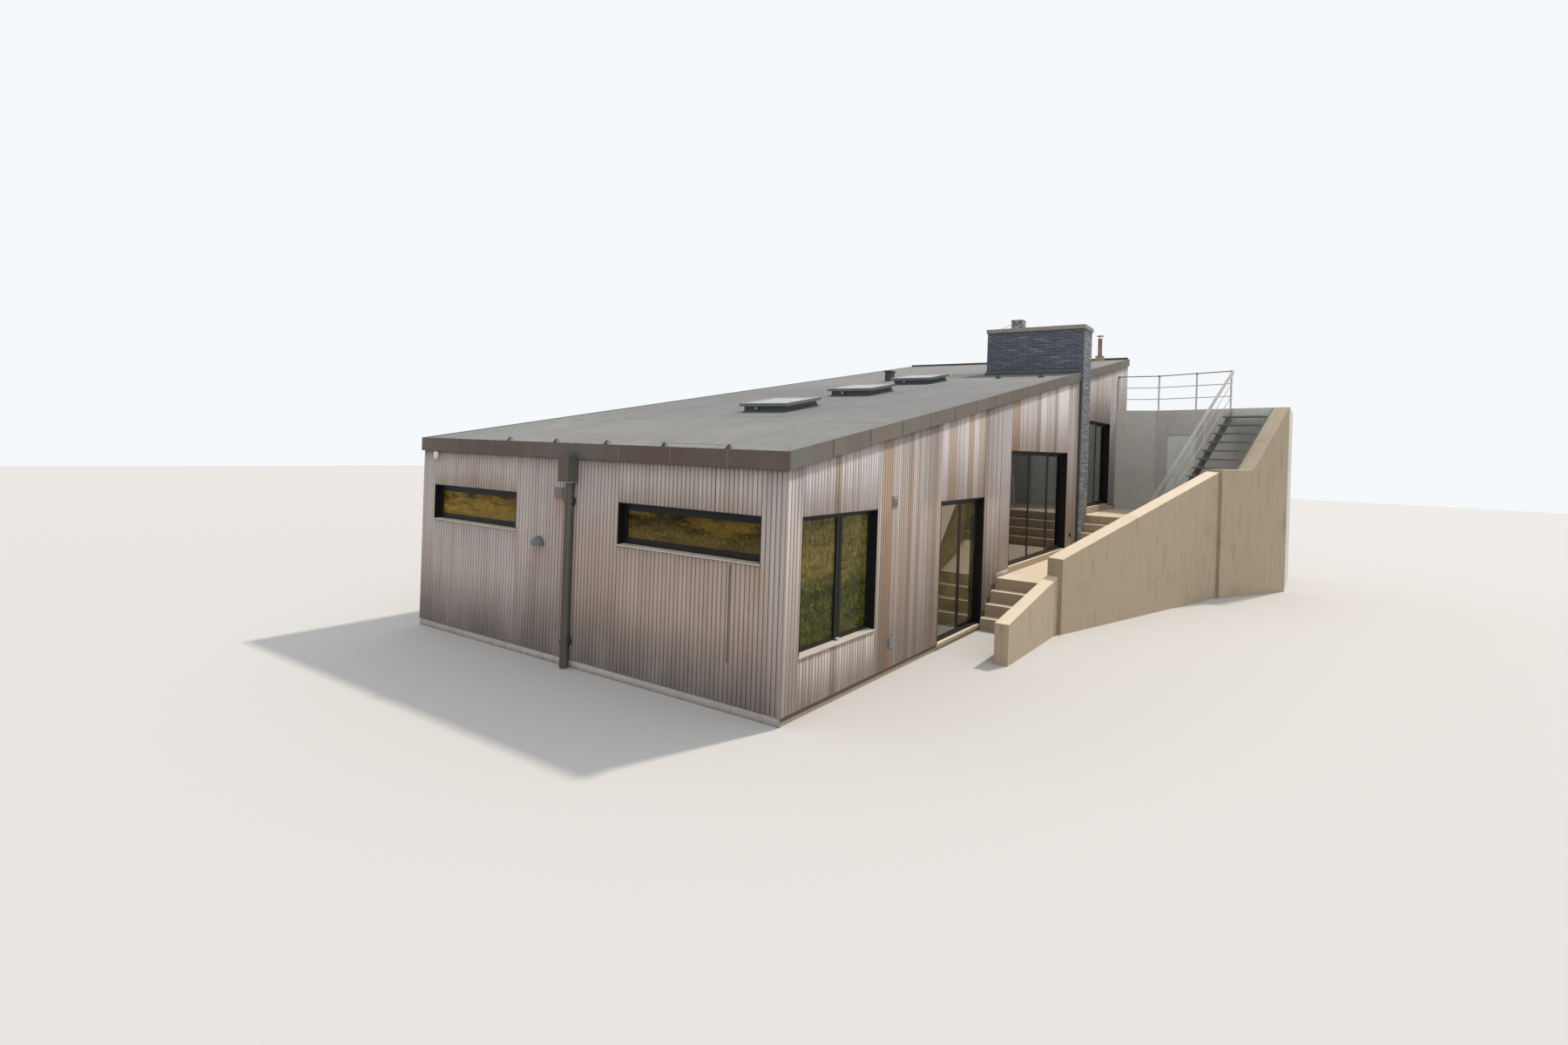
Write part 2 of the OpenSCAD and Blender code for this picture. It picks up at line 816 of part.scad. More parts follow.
// A point on the deck, from its place along the angled face and its distance behind it
function behind_face(x, back) = face_start + x*along - back*down;

// A straight round bar between two points
module bar(a, b, d) {
    v = b - a;
    l = norm(v);
    translate(a) rotate([0, acos(v[2]/l), atan2(v[1], v[0])]) cylinder(h = l, d = d, $fn = 16);
}

module deck_railing() {
    inset = 60;
    places = [[40, store_y + inset], [store_face + 40, store_y + 46], behind_face(1070, inset),
        behind_face(1960, inset)];
    color("silver") placed() union() {
        for (p = places)
            translate([p[0] - 20, p[1] - 20, deck_z]) cube([40, 40, rail_h]);
        for (i = [0 : len(places) - 2], k = [1/3, 2/3, 1])
            bar([places[i][0], places[i][1], deck_z + k*(rail_h - 20)],
                [places[i + 1][0], places[i + 1][1], deck_z + k*(rail_h - 20)], 24);
    }
}

module stair_stringers() {
    h = stringer_h*sqrt(1 + stair_slope*stair_slope);
    color("gray") placed() on_angled_face()
        for (x = [stair_at, stair_at + stair_w + stringer_t])
            side_slab([[-stair_l, terrace_z], [-stair_l + h/stair_slope, terrace_z],
                [0, deck_z - h], [0, deck_z], [-stair_l, deck_z - stair_l*stair_slope + 10]],
                x, x + stringer_t);
}

module stair_treads() {
    color("gray") placed() on_angled_face()
        for (i = [1 : stair_risers - 1])
            translate([stair_at + stringer_t, -i*going - tread_d + 60, deck_z - i*stair_rise - tread_t])
                cube([stair_w, tread_d, tread_t]);
}

// Handrail and rods run parallel to the stair, past its foot, in front of its left stringer
module stair_handrail() {
    reach = stair_l + 520;
    bar_h = 130;
    t = 12;
    color("silver") placed() on_angled_face() union() {
        sloping_bar(-reach, 0, rail_h, bar_h, t);
        block([stair_at - t, 0, deck_z + rail_h - bar_h], [stair_at, 60, deck_z + rail_h]);
        for (y = [-1020, -1500, -2030])
            block([stair_at - t, y - 20, deck_z + y*stair_slope - 120],
                [stair_at, y + 20, deck_z + y*stair_slope + rail_h - bar_h]);
        block([stair_at - t, -reach, terrace_z - step_rise_up],
            [stair_at, -reach + 40, deck_z + rail_h - bar_h - reach*stair_slope]);
        sloping_bar(-reach, 40, 2/3*rail_h, 16, t);
        sloping_bar(-stair_l - 260, 40, 1/3*rail_h, 16, t);
    }
}

// A flat bar in front of the left stringer; h above the stair's nosing line at its top
module sloping_bar(y0, y1, h, bar_h, t) {
    z0 = deck_z + y0*stair_slope + h;
    z1 = deck_z + y1*stair_slope + h;
    side_slab([[y0, z0 - bar_h], [y1, z1 - bar_h], [y1, z1], [y0, z0]], stair_at - t, stair_at);
}

foundation();
front_wall();
left_wall();
back_wall();
right_wall_front();
right_wall_piers();
door_lintels();
door_thresholds();
middle_floor();
upper_floor();
roof_slab();
front_fascia();
right_fascia();
left_fascia();
rear_fascia();
chimney_stack();
chimney_cap();
chimney_cowl();
rooflight_frames();
rooflight_glass();
roof_vents();
roof_flue();
front_window_frames();
side_window_frame();
rear_window_frames();
window_glass();
window_sills();
door_frames();
door_fixed_glass();
door_1_leaf();
door_1_leaf_glass();
door_2_leaf();
door_2_leaf_glass();
door_3_leaf();
door_3_leaf_glass();
downpipe();
wall_lamp();
wall_vents();
lower_steps();
middle_landing();
upper_steps();
upper_terrace();
low_dune_wall();
dune_wall();
stair_wall();
store_walls();
deck_slab();
store_door();
deck_railing();
stair_stringers();
stair_treads();
stair_handrail();
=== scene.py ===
"""Timber clad beach house with side steps, terrace, store and steel stair.

Lengths are in metres in the row frame. place() shifts a point measured from the
house's front corner on the door side, which is how the walls are laid out.

Cladding: each board is a closed prism with four upright sides. It starts at the
foot line of its wall and ends at the roof's slope, and it stands a little proud of
the wall. A board that meets an opening is cut along the opening's edges.
Bricks: closed boxes in running bond, every second course moved by half a brick.
Small fittings: closed boxes, laid out as distances along, out of and up a wall.
"""
import json
import math

import bpy
import numpy as np
from mathutils import Matrix, Vector


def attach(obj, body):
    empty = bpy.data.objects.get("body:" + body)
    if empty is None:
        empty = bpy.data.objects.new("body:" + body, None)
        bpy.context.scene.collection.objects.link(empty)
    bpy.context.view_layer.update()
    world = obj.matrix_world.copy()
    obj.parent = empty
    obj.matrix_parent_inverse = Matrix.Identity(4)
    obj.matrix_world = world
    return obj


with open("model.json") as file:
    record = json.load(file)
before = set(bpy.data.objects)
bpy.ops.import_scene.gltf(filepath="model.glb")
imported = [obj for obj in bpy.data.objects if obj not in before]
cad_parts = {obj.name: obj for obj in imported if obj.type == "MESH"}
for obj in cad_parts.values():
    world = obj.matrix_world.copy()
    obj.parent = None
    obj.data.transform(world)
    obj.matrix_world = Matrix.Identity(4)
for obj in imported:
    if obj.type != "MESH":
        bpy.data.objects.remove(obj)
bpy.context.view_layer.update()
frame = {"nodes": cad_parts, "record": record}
rng = np.random.default_rng(7)

# The house's plan; the roof's underside at the front, its rise and its thickness
HOUSE_W, HOUSE_L = 6.78, 17.1
EAVE, SLOPE, ROOF_T = 2.69, math.tan(math.radians(9.5)), 0.19
# Levels beside the house, and where the landing and the store start
LANDING, TERRACE, DECK = 0.77, 1.53, 4.2
LANDING_Y, STORE_Y = 6.47, 15.8
# Openings of the door side: from, to, foot, head; boards over DOOR_HEAD are greyer
SIDE_WINDOW, DOOR_1 = (0.29, 2.01, 0.657, 2.18), (3.99, 5.78, 0.0, 2.196)
DOOR_2, DOOR_3 = (7.08, 10.87, 0.0, 2.984), (12.45, 15.02, 0.0, 3.791)
DOOR_HEAD = 2.1
# Chimney: from and to along the door side, width, how far it stands out, top of the bricks
CHIMNEY, CHIMNEY_W, CHIMNEY_OUT, BRICK_TOP = (11.72, 12.45), 2.27, 0.08, 5.86
CHIMNEY_X = (CHIMNEY_OUT - CHIMNEY_W, CHIMNEY_OUT)
COWL_X, COWL_Y = -1.56, 12.085
# Rooflights: front edges, and from and to across the house
ROOFLIGHTS, ROOFLIGHT_X = (3.55, 6.35, 9.05), (-3.39, -2.545)
# Boards: spacing, open joint, thickness, height of their lower ends over the ground
PITCH, GAP, PROUD, BOARD_FOOT = 0.064, 0.011, 0.012, 0.10
# Walls are dark to this depth and pale inside
DARK_DEPTH = 0.17
BOX_FACES = np.array([[0, 3, 2, 1], [4, 5, 6, 7], [0, 1, 5, 4], [1, 2, 6, 5], [2, 3, 7, 6], [3, 0, 4, 7]])


def place(p):
    """Row-frame point of one measured from the house's front corner."""
    return np.asarray(p, float) + [HOUSE_W / 2, -HOUSE_L / 2, 0]


def eave(y):
    """Underside of the roof at distance y from the front: its front height plus y times its slope."""
    return EAVE + np.asarray(y, float) * SLOPE


# ---------------------------------------------------------------- shader maths
class Sock:
    """A shader socket with arithmetic. Numbers are set on the node they feed."""

    tree = None

    def __init__(self, socket):
        self.socket = socket

    @classmethod
    def node(cls, kind, settings=(), sockets=(), out=0):
        n = cls.tree.nodes.new(kind)
        for key, value in dict(settings).items():
            setattr(n, key, value)
        for key, value in dict(sockets).items():
            cls.feed(n.inputs[key], value)
        return Sock(n.outputs[out])

    @classmethod
    def feed(cls, socket, value):
        if isinstance(value, Sock):
            cls.tree.links.new(value.socket, socket)
        elif hasattr(socket.default_value, "__len__"):
            size = len(socket.default_value)
            value = list(np.broadcast_to(value, size if np.ndim(value) == 0 else len(value)))
            socket.default_value = value + [1.0] * (size - len(value))
        else:
            socket.default_value = value

    def math(self, op, *others):
        return self.node("ShaderNodeMath", {"operation": op}, dict(enumerate((self,) + others)))

    def __add__(self, o): return self.math("ADD", o)
    def __sub__(self, o): return self.math("SUBTRACT", o)
    def __mul__(self, o): return self.math("MULTIPLY", o)
    def __truediv__(self, o): return self.math("DIVIDE", o)
    def __radd__(self, o): return self.math("ADD", o)
    def __rsub__(self, o): return self.node("ShaderNodeMath", {"operation": "SUBTRACT"}, {0: o, 1: self})
    def over(self, o): return self.math("GREATER_THAN", o)
    def under(self, o): return self.math("LESS_THAN", o)
    def frac(self): return self.math("FRACT")
    def floor(self): return self.math("FLOOR")
    def max(self, o): return self.math("MAXIMUM", o)
    def abs(self): return self.math("ABSOLUTE")

    def ramp(self, lo, hi):
        """0 at lo, 1 at hi, smooth between."""
        return self.node("ShaderNodeMapRange", {"interpolation_type": "SMOOTHSTEP"},
                         {"Value": self, "From Min": lo, "From Max": hi})

    def near(self, centre, half, soft=None):
        """1 within half of centre, falling to 0 over soft."""
        return 1 - (self - centre).abs().ramp(half, half + (soft or half * 0.5))


def parts(vector):
    """The x, y and z of a vector socket."""
    xyz = Sock.tree.nodes.new("ShaderNodeSeparateXYZ")
    Sock.feed(xyz.inputs[0], vector)
    return tuple(Sock(out) for out in xyz.outputs)


def position():
    """The Object coordinates, whole and as x, y and z."""
    p = Sock.node("ShaderNodeTexCoord", out="Object")
    return (p, *parts(p))


def normal():
    """The three parts of the surface normal."""
    return parts(Sock.node("ShaderNodeNewGeometry", out="Normal"))


def from_corner(x, y):
    """Row-frame x and y as distances from the house's front corner on the door side."""
    return x - HOUSE_W / 2, y + HOUSE_L / 2


def above_roof(y, z):
    """Height over the top of the roof slab."""
    return z - (EAVE + ROOF_T) - (y + HOUSE_L / 2) * SLOPE


def noise(p, scale, stretch=(1, 1, 1), detail=3.0, rough=0.55):
    """Noise from 0 to 1; stretch multiplies the coordinates."""
    v = Sock.node("ShaderNodeVectorMath", {"operation": "MULTIPLY"}, {0: p, 1: stretch})
    return Sock.node("ShaderNodeTexNoise", {},
                     {"Vector": v, "Scale": scale, "Detail": detail, "Roughness": rough})


def attribute(name):
    """A number stored on the points of the mesh."""
    return Sock.node("ShaderNodeAttribute", {"attribute_name": name}, out="Fac")


def mix(a, b, f, mode="MIX"):
    """Colour a where f is 0 and b where f is 1."""
    return Sock.node("ShaderNodeMix", {"data_type": "RGBA", "blend_type": mode}, {0: f, 6: a, 7: b}, out=2)


def material(name, build):
    """A Principled material; build(p, x, y, z) gives its socket values by name."""
    m = bpy.data.materials.new(name)
    m.use_nodes = True
    Sock.tree = m.node_tree
    m.node_tree.nodes.clear()
    values = build(*position())
    height, depth = values.pop("height", (None, 0))
    if height is not None:
        values["Normal"] = Sock.node("ShaderNodeBump", {},
                                     {"Strength": 1.0, "Distance": depth, "Height": height})
    shader = Sock.node("ShaderNodeBsdfPrincipled", {}, values)
    out = m.node_tree.nodes.new("ShaderNodeOutputMaterial")
    m.node_tree.links.new(shader.socket, out.inputs["Surface"])
    return m


# ------------------------------------------------------------------- materials
# Rust on the front's boards: place, half width, heights where it has faded and where
# it is full, and its top
DRIPS = [(-3.985, 0.05, 0.9, 1.45, 1.52), (-3.60, 0.06, 1.7, 2.1, 2.16),
         (-4.49, 0.04, 1.0, 1.6, 1.7), (-0.33, 0.04, 0.9, 1.6, 1.7)]
# Darker bands high on the door side: centre, half width, softness, amount
DARKER = [(1.0, 0.06, 0.01, 0.15), (2.95, 0.08, 0.01, 0.15), (5.95, 0.17, 0.06, 0.26),
          (6.63, 0.42, 0.08, 0.12), (3.62, 0.28, 0.04, 0.2), (0.25, 0.06, 0.03, 0.2)]


def timber(p, x, y, z):
    """Weathered boards: tone per board, streaks along the grain, stains below fittings."""
    tone, odd = attribute("tone"), attribute("odd")
    along_x, along_y = from_corner(x, y)
    streak = noise(p, 6.0, (12, 12, 0.14), 4.0, 0.6)
    blot = noise(p, 1.3, (1.3, 1.3, 0.45), 3.0)
    fine = noise(p, 40.0, (3, 3, 0.15), 2.0)
    side = x.ramp(HOUSE_W / 2 - 0.03, HOUSE_W / 2 + 0.005)
    front = y.under(-HOUSE_L / 2 + 0.05)
    high = z.ramp(1.9, 2.3)
    # Pale, dark and brown boards, with paler streaks and darker blots
    base = mix((0.465, 0.388, 0.34), (0.57, 0.492, 0.442), tone.ramp(0.5, 1.0))
    base = mix(base, (0.34, 0.262, 0.212), (1 - tone).ramp(0.5, 1.0))
    base = mix(base, (0.60, 0.515, 0.458), streak.ramp(0.52, 0.75) * 0.4)
    base = mix(base, (0.32, 0.24, 0.185), blot.ramp(0.48, 0.75) * (0.35 - side * 0.15))
    brown = mix((0.30, 0.208, 0.142), (0.37, 0.25, 0.158), high)
    base = mix(base, brown, odd * streak.ramp(0.1, 0.4) * 0.9)
    # Darker towards the foot, and dirt under the metal edge
    foot = 1 - z.ramp(BOARD_FOOT, 1.1)
    base = mix(base, (0.24, 0.20, 0.18), foot * (1 - side * 0.5) * blot.ramp(0.2, 0.6) * 0.75)
    under = 1 - (z - EAVE - along_y * SLOPE).abs().ramp(0.0, 0.22)
    base = mix(base, (0.27, 0.18, 0.13), under * streak.ramp(0.3, 0.6) * (1 - side) * 0.45)
    # Rust below the fittings of the front and of the door side
    drips = sum(along_x.near(centre, half) * z.ramp(faded, full) * z.under(top)
                for centre, half, faded, full, top in DRIPS) * front
    seeps = (along_y.near(2.36, 0.035, 0.02) * z.under(2.2) * z.ramp(0.4, 1.3)
             + along_y.near(2.45, 0.05, 0.02) * z.under(0.36)) * side * x.over(3.3)
    base = mix(base, (0.42, 0.22, 0.11), (drips * 0.5 + seeps * 0.7) * streak.ramp(0.2, 0.55))
    # The door side is greyer high up and towards the back, and its tone changes along it
    greyer = side * along_y.ramp(5.0, 7.5).max(z.ramp(DOOR_HEAD, 2.5))
    base = mix(base, (0.975, 1.02, 1.075), greyer, "MULTIPLY")
    darker = sum(along_y.near(centre, half, soft) * amount for centre, half, soft, amount in DARKER)
    base = mix(base, (0.0, 0.0, 0.0), darker * z.ramp(2.0, 2.3) * side)
    lighter = (along_y.near(4.85, 0.85, 0.04) * z.over(DOOR_HEAD) * 0.6
               + along_y.near(6.28, 0.12, 0.04) * (1 - high)
               + along_y.near(10.5, 0.35, 0.15) * 1.3 + along_y.near(9.0, 0.15, 0.1) * 0.8)
    base = mix(base, (1.2, 1.2, 1.2), lighter * side, "MULTIPLY")
    # Browner low on the front, right of the downpipe
    low_right = (1 - side) * along_x.ramp(-3.9, -2.9) * z.ramp(0.2, 0.7) * (1 - z.ramp(1.7, 2.3))
    base = mix(base, (0.95, 0.87, 0.80), low_right * (1 - along_x.ramp(-0.4, -0.2)), "MULTIPLY")
    # Two split boards above and below the right slot window
    wavy_x = along_x + (streak - 0.5) * 0.02
    split = (wavy_x.near(-0.96, 0.004, 0.004) * z.over(2.18)
             + wavy_x.near(-0.72, 0.006, 0.006) * z.over(0.55) * z.under(1.62)) * front
    base = mix(base, (0.06, 0.05, 0.045), split * 0.85)
    base = mix(base, (0.17, 0.13, 0.11), fine.ramp(0.55, 0.8) * 0.3)
    return {"Base Color": base, "Roughness": 0.85, "height": (fine, 0.003)}


def wall_core(p, x, y, z):
    """Dark brown behind the boards, pale inside."""
    inner = x.abs().under(HOUSE_W / 2 - DARK_DEPTH) * y.abs().under(HOUSE_L / 2 - DARK_DEPTH)
    base = mix((0.105, 0.080, 0.064), (0.62, 0.60, 0.56), inner)
    return {"Base Color": base, "Roughness": 0.9}


def concrete(upper, face, stain, amount=0.6):
    """Cast concrete: one colour on level faces, one on upright ones, with stains; the two colours paint in
    light and shade, pale sunlit treads and dark shaded risers on the sandy steps.
    """
    def build(p, x, y, z):
        cloud = noise(p, 1.1, (1, 1, 1), 6.0, 0.65)
        runs = noise(p, 3.0, (4, 4, 0.5), 4.0, 0.6)
        grit = noise(p, 90.0, (1, 1, 1), 2.0)
        # Painted light and shade: level faces get the upper colour, upright ones the face colour
        up = normal()[2].ramp(0.5, 0.9)
        base = mix(face, upper, up)
        base = mix(base, stain, runs.ramp(0.5, 0.8) * (1 - up) * amount)
        base = mix(base, stain, cloud.ramp(0.5, 0.78) * 0.35)
        base = mix(base, (0.10, 0.085, 0.07), grit.ramp(0.62, 0.8) * 0.2)
        return {"Base Color": base, "Roughness": 0.9, "height": (grit + cloud * 2, 0.004)}
    return build


def plaster(p, x, y, z):
    """Smooth screed."""
    return {"Base Color": mix((0.55, 0.53, 0.50), (0.48, 0.46, 0.43), noise(p, 1.0)), "Roughness": 0.8}


def felt(p, x, y, z):
    """Mineral felt in sheets a metre wide, with an end lap every four, and a painted shadow of the chimney
    on the felt before it.
    """
    along_x, along_y = from_corner(x, y)
    cloud = noise(p, 0.8, (1, 0.5, 1), 5.0, 0.6)
    creases = noise(p, 3.0, (3, 1, 1), 5.0, 0.7)
    speck = noise(p, 120.0, (1, 1, 1), 1.0)
    across = along_x + 7.1
    shift = Sock.node("ShaderNodeTexWhiteNoise", {"noise_dimensions": "1D"}, {"W": across.floor()}) * 5.0
    lap = (((along_y + shift - 1.0) / 4.0).frac() - 0.5).abs().ramp(0.003, 0.010)
    seam = (across.frac() - 0.5).abs().ramp(0.48, 0.5)
    base = mix((0.235, 0.222, 0.203), (0.19, 0.182, 0.168), cloud.ramp(0.3, 0.75))
    base = mix(base, (0.82, 0.83, 0.84), along_y.near(6.0, 2.0, 2.5), "MULTIPLY")
    base = mix(base, (0.125, 0.12, 0.113), creases.ramp(0.52, 0.68) * 0.6)
    base = mix(base, (0.30, 0.285, 0.262), (1 - creases).ramp(0.54, 0.68) * 0.3)
    base = mix(base, (0.07, 0.07, 0.07), (1 - lap) * 0.85)
    base = mix(base, (0.10, 0.10, 0.10), seam * 0.6)
    moss = (1 - along_x.ramp(-6.6, -5.4)) * along_y.near(0.0, 1.2, 1.5) * creases.ramp(0.3, 0.6)
    base = mix(base, (0.16, 0.185, 0.165), moss * 0.7)
    # Painted shadow of the chimney, cast on the felt in front of it
    apron = along_y.near(11.6, 0.6, 0.45) * along_x.near(-1.6, 1.5, 0.4)
    base = mix(base, (0.085, 0.09, 0.09), apron * 0.75)
    base = mix(base, (0.09, 0.09, 0.09), speck.ramp(0.54, 0.68) * 0.55)
    base = mix(base, (0.36, 0.35, 0.33), (1 - speck).ramp(0.54, 0.68) * 0.4)
    return {"Base Color": base, "Roughness": 0.95, "height": (speck, 0.002)}


def edge_metal(p, x, y, z):
    """Bronze brown sheet with a joint every 0.86 m or so, a painted highlight on the front's joints,
    greenish in places.
    """
    along_x, along_y = from_corner(x, y)
    front = along_y.under(-0.021)
    front_joint_highlight = (((along_x + 6.763) / 0.855).frac() - 0.5).abs().ramp(0.4945, 0.4975)
    joint_y = (((along_y + 0.053) / 0.874).frac() - 0.5).abs().ramp(0.4825, 0.4875)
    cloud = noise(p, 1.6, (1, 1, 1), 3.0)
    runs = noise(p, 5.0, (6, 6, 0.7), 3.0, 0.6)
    facing = mix((0.098, 0.066, 0.050), (0.115, 0.088, 0.070), cloud.ramp(0.35, 0.7))
    green = along_x.near(-3.35, 0.3, 0.3) * 0.7 + along_x.near(-6.6, 0.2, 0.5) * 0.15
    facing = mix(facing, (0.105, 0.108, 0.092), green * 0.8)
    # Painted highlight along the front's joints
    facing = mix(facing, (0.24, 0.225, 0.205), front_joint_highlight * 0.7)
    flank = mix((0.178, 0.150, 0.121), (0.148, 0.122, 0.096), cloud.ramp(0.35, 0.7))
    flank = mix(flank, (0.148, 0.152, 0.122), (1 - along_y.ramp(0.0, 0.8)) * 0.8)
    flank = mix(flank, (0.86, 0.83, 0.77), along_y.ramp(3.0, 8.0), "MULTIPLY")
    flank = mix(flank, (0.10, 0.09, 0.08), runs.ramp(0.55, 0.8) * 0.25)
    flank = mix(flank, (0.045, 0.038, 0.033), joint_y * 0.9)
    base = mix(flank, facing, front)
    lip = mix((0.26, 0.30, 0.27), (0.16, 0.155, 0.14), along_x.over(-6.7))
    base = mix(base, lip, normal()[2].ramp(0.6, 0.9))
    return {"Base Color": base, "Roughness": 0.6, "IOR": 1.35}


def brick(p, x, y, z):
    """Slim dark bricks, some lighter; the door side is painted paler for the sun on it, most of all high up.
    """
    tone = attribute("tone")
    side = x.over(HOUSE_W / 2 + CHIMNEY_OUT)
    fine = noise(p, 30.0, (1, 1, 2), 3.0)
    cloud = noise(p, 1.6, (1, 1, 1.5), 4.0)
    base = mix((0.10, 0.11, 0.14), (0.158, 0.162, 0.19), tone)
    base = mix(base, (0.27, 0.265, 0.275), tone.ramp(0.86, 1.0) * 0.6)
    base = mix(base, (0.30, 0.29, 0.275), cloud.ramp(0.5, 0.8) * 0.3)
    # Painted light: the sunlit door side face is paler, more so high up
    upper = 1 - (z - 4.6).ramp(0.0, 1.2) * 0.5
    pale = mix((0.175, 0.178, 0.182), (0.31, 0.306, 0.302), tone.ramp(0.15, 1.0))
    base = mix(base, pale, side * (1.25 - upper * 0.45))
    base = mix(base, (0.03, 0.03, 0.035), fine.ramp(0.5, 0.8) * 0.45)
    return {"Base Color": base, "Roughness": 0.8, "height": (fine, 0.004)}


def mortar(p, x, y, z):
    """Dark joints, painted paler for the sun on the door side."""
    base = mix((0.055, 0.058, 0.066), (0.095, 0.096, 0.102), noise(p, 20.0))
    side = x.over(HOUSE_W / 2 + CHIMNEY_OUT - 0.01)
    # Painted light on the joints of the sunlit door side
    return {"Base Color": mix(base, (0.17, 0.17, 0.17), side), "Roughness": 0.95}


def plain(colour, rough=0.6, metallic=0.0, wear=None, amount=0.3, scale=3.0, **more):
    """One finish with cloudy wear of a second colour."""
    def build(p, x, y, z):
        base = colour
        if wear is not None:
            base = mix(colour, wear, noise(p, scale, (1, 1, 0.6), 4.0).ramp(0.4, 0.75) * amount)
        return {"Base Color": base, "Roughness": rough, "Metallic": metallic, **more}
    return build


def painted_light_by_facing(axis, low, high, rough=0.55, metallic=0.2, edge=(0.2, 0.6)):
    """Painted light and shade: one colour, and a lit one on faces that look along an axis."""
    def build(p, x, y, z):
        worn = noise(p, 5.0, (1, 1, 0.5), 4.0).ramp(0.35, 0.75)
        base = mix(low, high, normal()[axis].ramp(*edge))
        base = mix(base, tuple(c * 0.65 for c in low), worn * 0.35)
        return {"Base Color": base, "Roughness": rough, "Metallic": metallic}
    return build


def dune_reflection_pane(p, x, y, z):
    """Olive brown glass with a painted reflection of the dune grass: level bands, dark clumps and fine
    bright blades.
    """
    bands = noise(p, 1.5, (0.7, 0.5, 3.0), 5.0, 0.65)
    clump = noise(p, 3.0, (0.8, 0.7, 3.0), 5.0, 0.7)
    reflected_grass = noise(p, 17.0, (1.6, 1.6, 1.1), 4.0, 0.75)
    side = x.over(3.0)
    left = x.under(-0.6) * y.under(-8.0)  # the left slot window in front is brighter
    height = z + (bands - 0.5) * 0.6
    # Painted reflection of the dune grass by height: dark and olive bands, straw, green, and bright and dark
    # blades
    dark = mix((0.022, 0.013, 0.001), (0.022, 0.023, 0.004), side)
    mid = mix((0.145, 0.09, 0.014), (0.138, 0.112, 0.018), side)
    base = mix(dark, mid, bands.ramp(0.38, 0.60))
    low = (1 - height.ramp(1.76, 1.98)) * (1 - side)
    pale = height.near(1.72, 0.20, 0.25) * side
    green = height.near(1.08, 0.22, 0.3) * side
    base = mix(base, mix((0.135, 0.095, 0.03), (0.20, 0.15, 0.04), side), low * 0.7 + pale * 0.6)
    base = mix(base, (0.036, 0.05, 0.006), green * 0.8)
    base = mix(base, (0.38, 0.225, 0.03), left * (0.3 + bands.ramp(0.35, 0.6) * 0.4))
    clumps = 0.85 - low * 0.5 - pale * 0.4 - green * 0.3
    base = mix(base, (0.010, 0.008, 0.001), clump.ramp(0.46, 0.64) * clumps)
    bright = 0.25 + low * 0.15 + side * 0.25 + pale * 0.4
    base = mix(base, (0.30, 0.235, 0.09), reflected_grass.ramp(0.50, 0.72) * bright)
    base = mix(base, (0.010, 0.009, 0.001), (1 - reflected_grass).ramp(0.50, 0.70) * (0.45 + side * 0.35))
    return {"Base Color": base, "Roughness": 0.04, "IOR": 1.16, "Alpha": 0.98}


def kerb(p, x, y, z):
    """Dark kerb with a lighter rim, palest on top."""
    worn = noise(p, 5.0, (1, 1, 0.5), 4.0).ramp(0.35, 0.75)
    side = mix((0.075, 0.085, 0.087), (0.175, 0.172, 0.163), above_roof(y, z).ramp(0.094, 0.098))
    base = mix(side, (0.36, 0.37, 0.37), normal()[2].ramp(0.6, 0.9))
    return {"Base Color": mix(base, (0.06, 0.065, 0.065), worn * 0.3), "Roughness": 0.55, "Metallic": 0.15}


def flue(p, x, y, z):
    """Brown pipe on a sandy base with a brown stain."""
    worn = noise(p, 9.0, (1, 1, 0.6), 4.0)
    pipe = mix((0.20, 0.115, 0.085), (0.30, 0.195, 0.15), worn.ramp(0.4, 0.7))
    base = mix((0.42, 0.33, 0.235), (0.22, 0.13, 0.08), worn.ramp(0.42, 0.7))
    return {"Base Color": mix(base, pipe, above_roof(y, z).ramp(0.14, 0.16)), "Roughness": 0.8}


def mottled(p, x, y, z):
    """Pale sheet with dark weather spots."""
    spots = noise(p, 16.0, (1, 1, 1), 4.0, 0.7)
    base = mix((0.46, 0.45, 0.42), (0.10, 0.105, 0.105), spots.ramp(0.47, 0.56) * 0.8)
    return {"Base Color": base, "Roughness": 0.65, "Metallic": 0.1}


def railing(p, x, y, z):
    """Pale galvanised bars under a dark top rail."""
    worn = noise(p, 6.0, (1, 1, 0.5), 4.0).ramp(0.35, 0.75)
    base = mix((0.56, 0.60, 0.62), (0.42, 0.43, 0.42), worn * 0.5)
    base = mix(base, (0.12, 0.11, 0.10), z.over(DECK + 0.885))
    return {"Base Color": base, "Roughness": 0.5, "Metallic": 0.1}


def door_pane(p, x, y, z):
    """Clear dark glass with a strong double shine, as two panes give; darker past door 1."""
    murk = noise(p, 2.0, (1, 1, 2), 4.0, 0.6).ramp(0.4, 0.6)
    past = y.ramp(-2.5, -1.6)
    base = mix(mix((0.135, 0.106, 0.038), (0.066, 0.054, 0.022), murk), (0.0005, 0.001, 0.0005), past)
    return {"Base Color": base, "Roughness": 0.01, "IOR": 1.85, "Alpha": 0.8,
            "Coat Weight": 0.9 - past * 0.3, "Coat Roughness": 0.01}


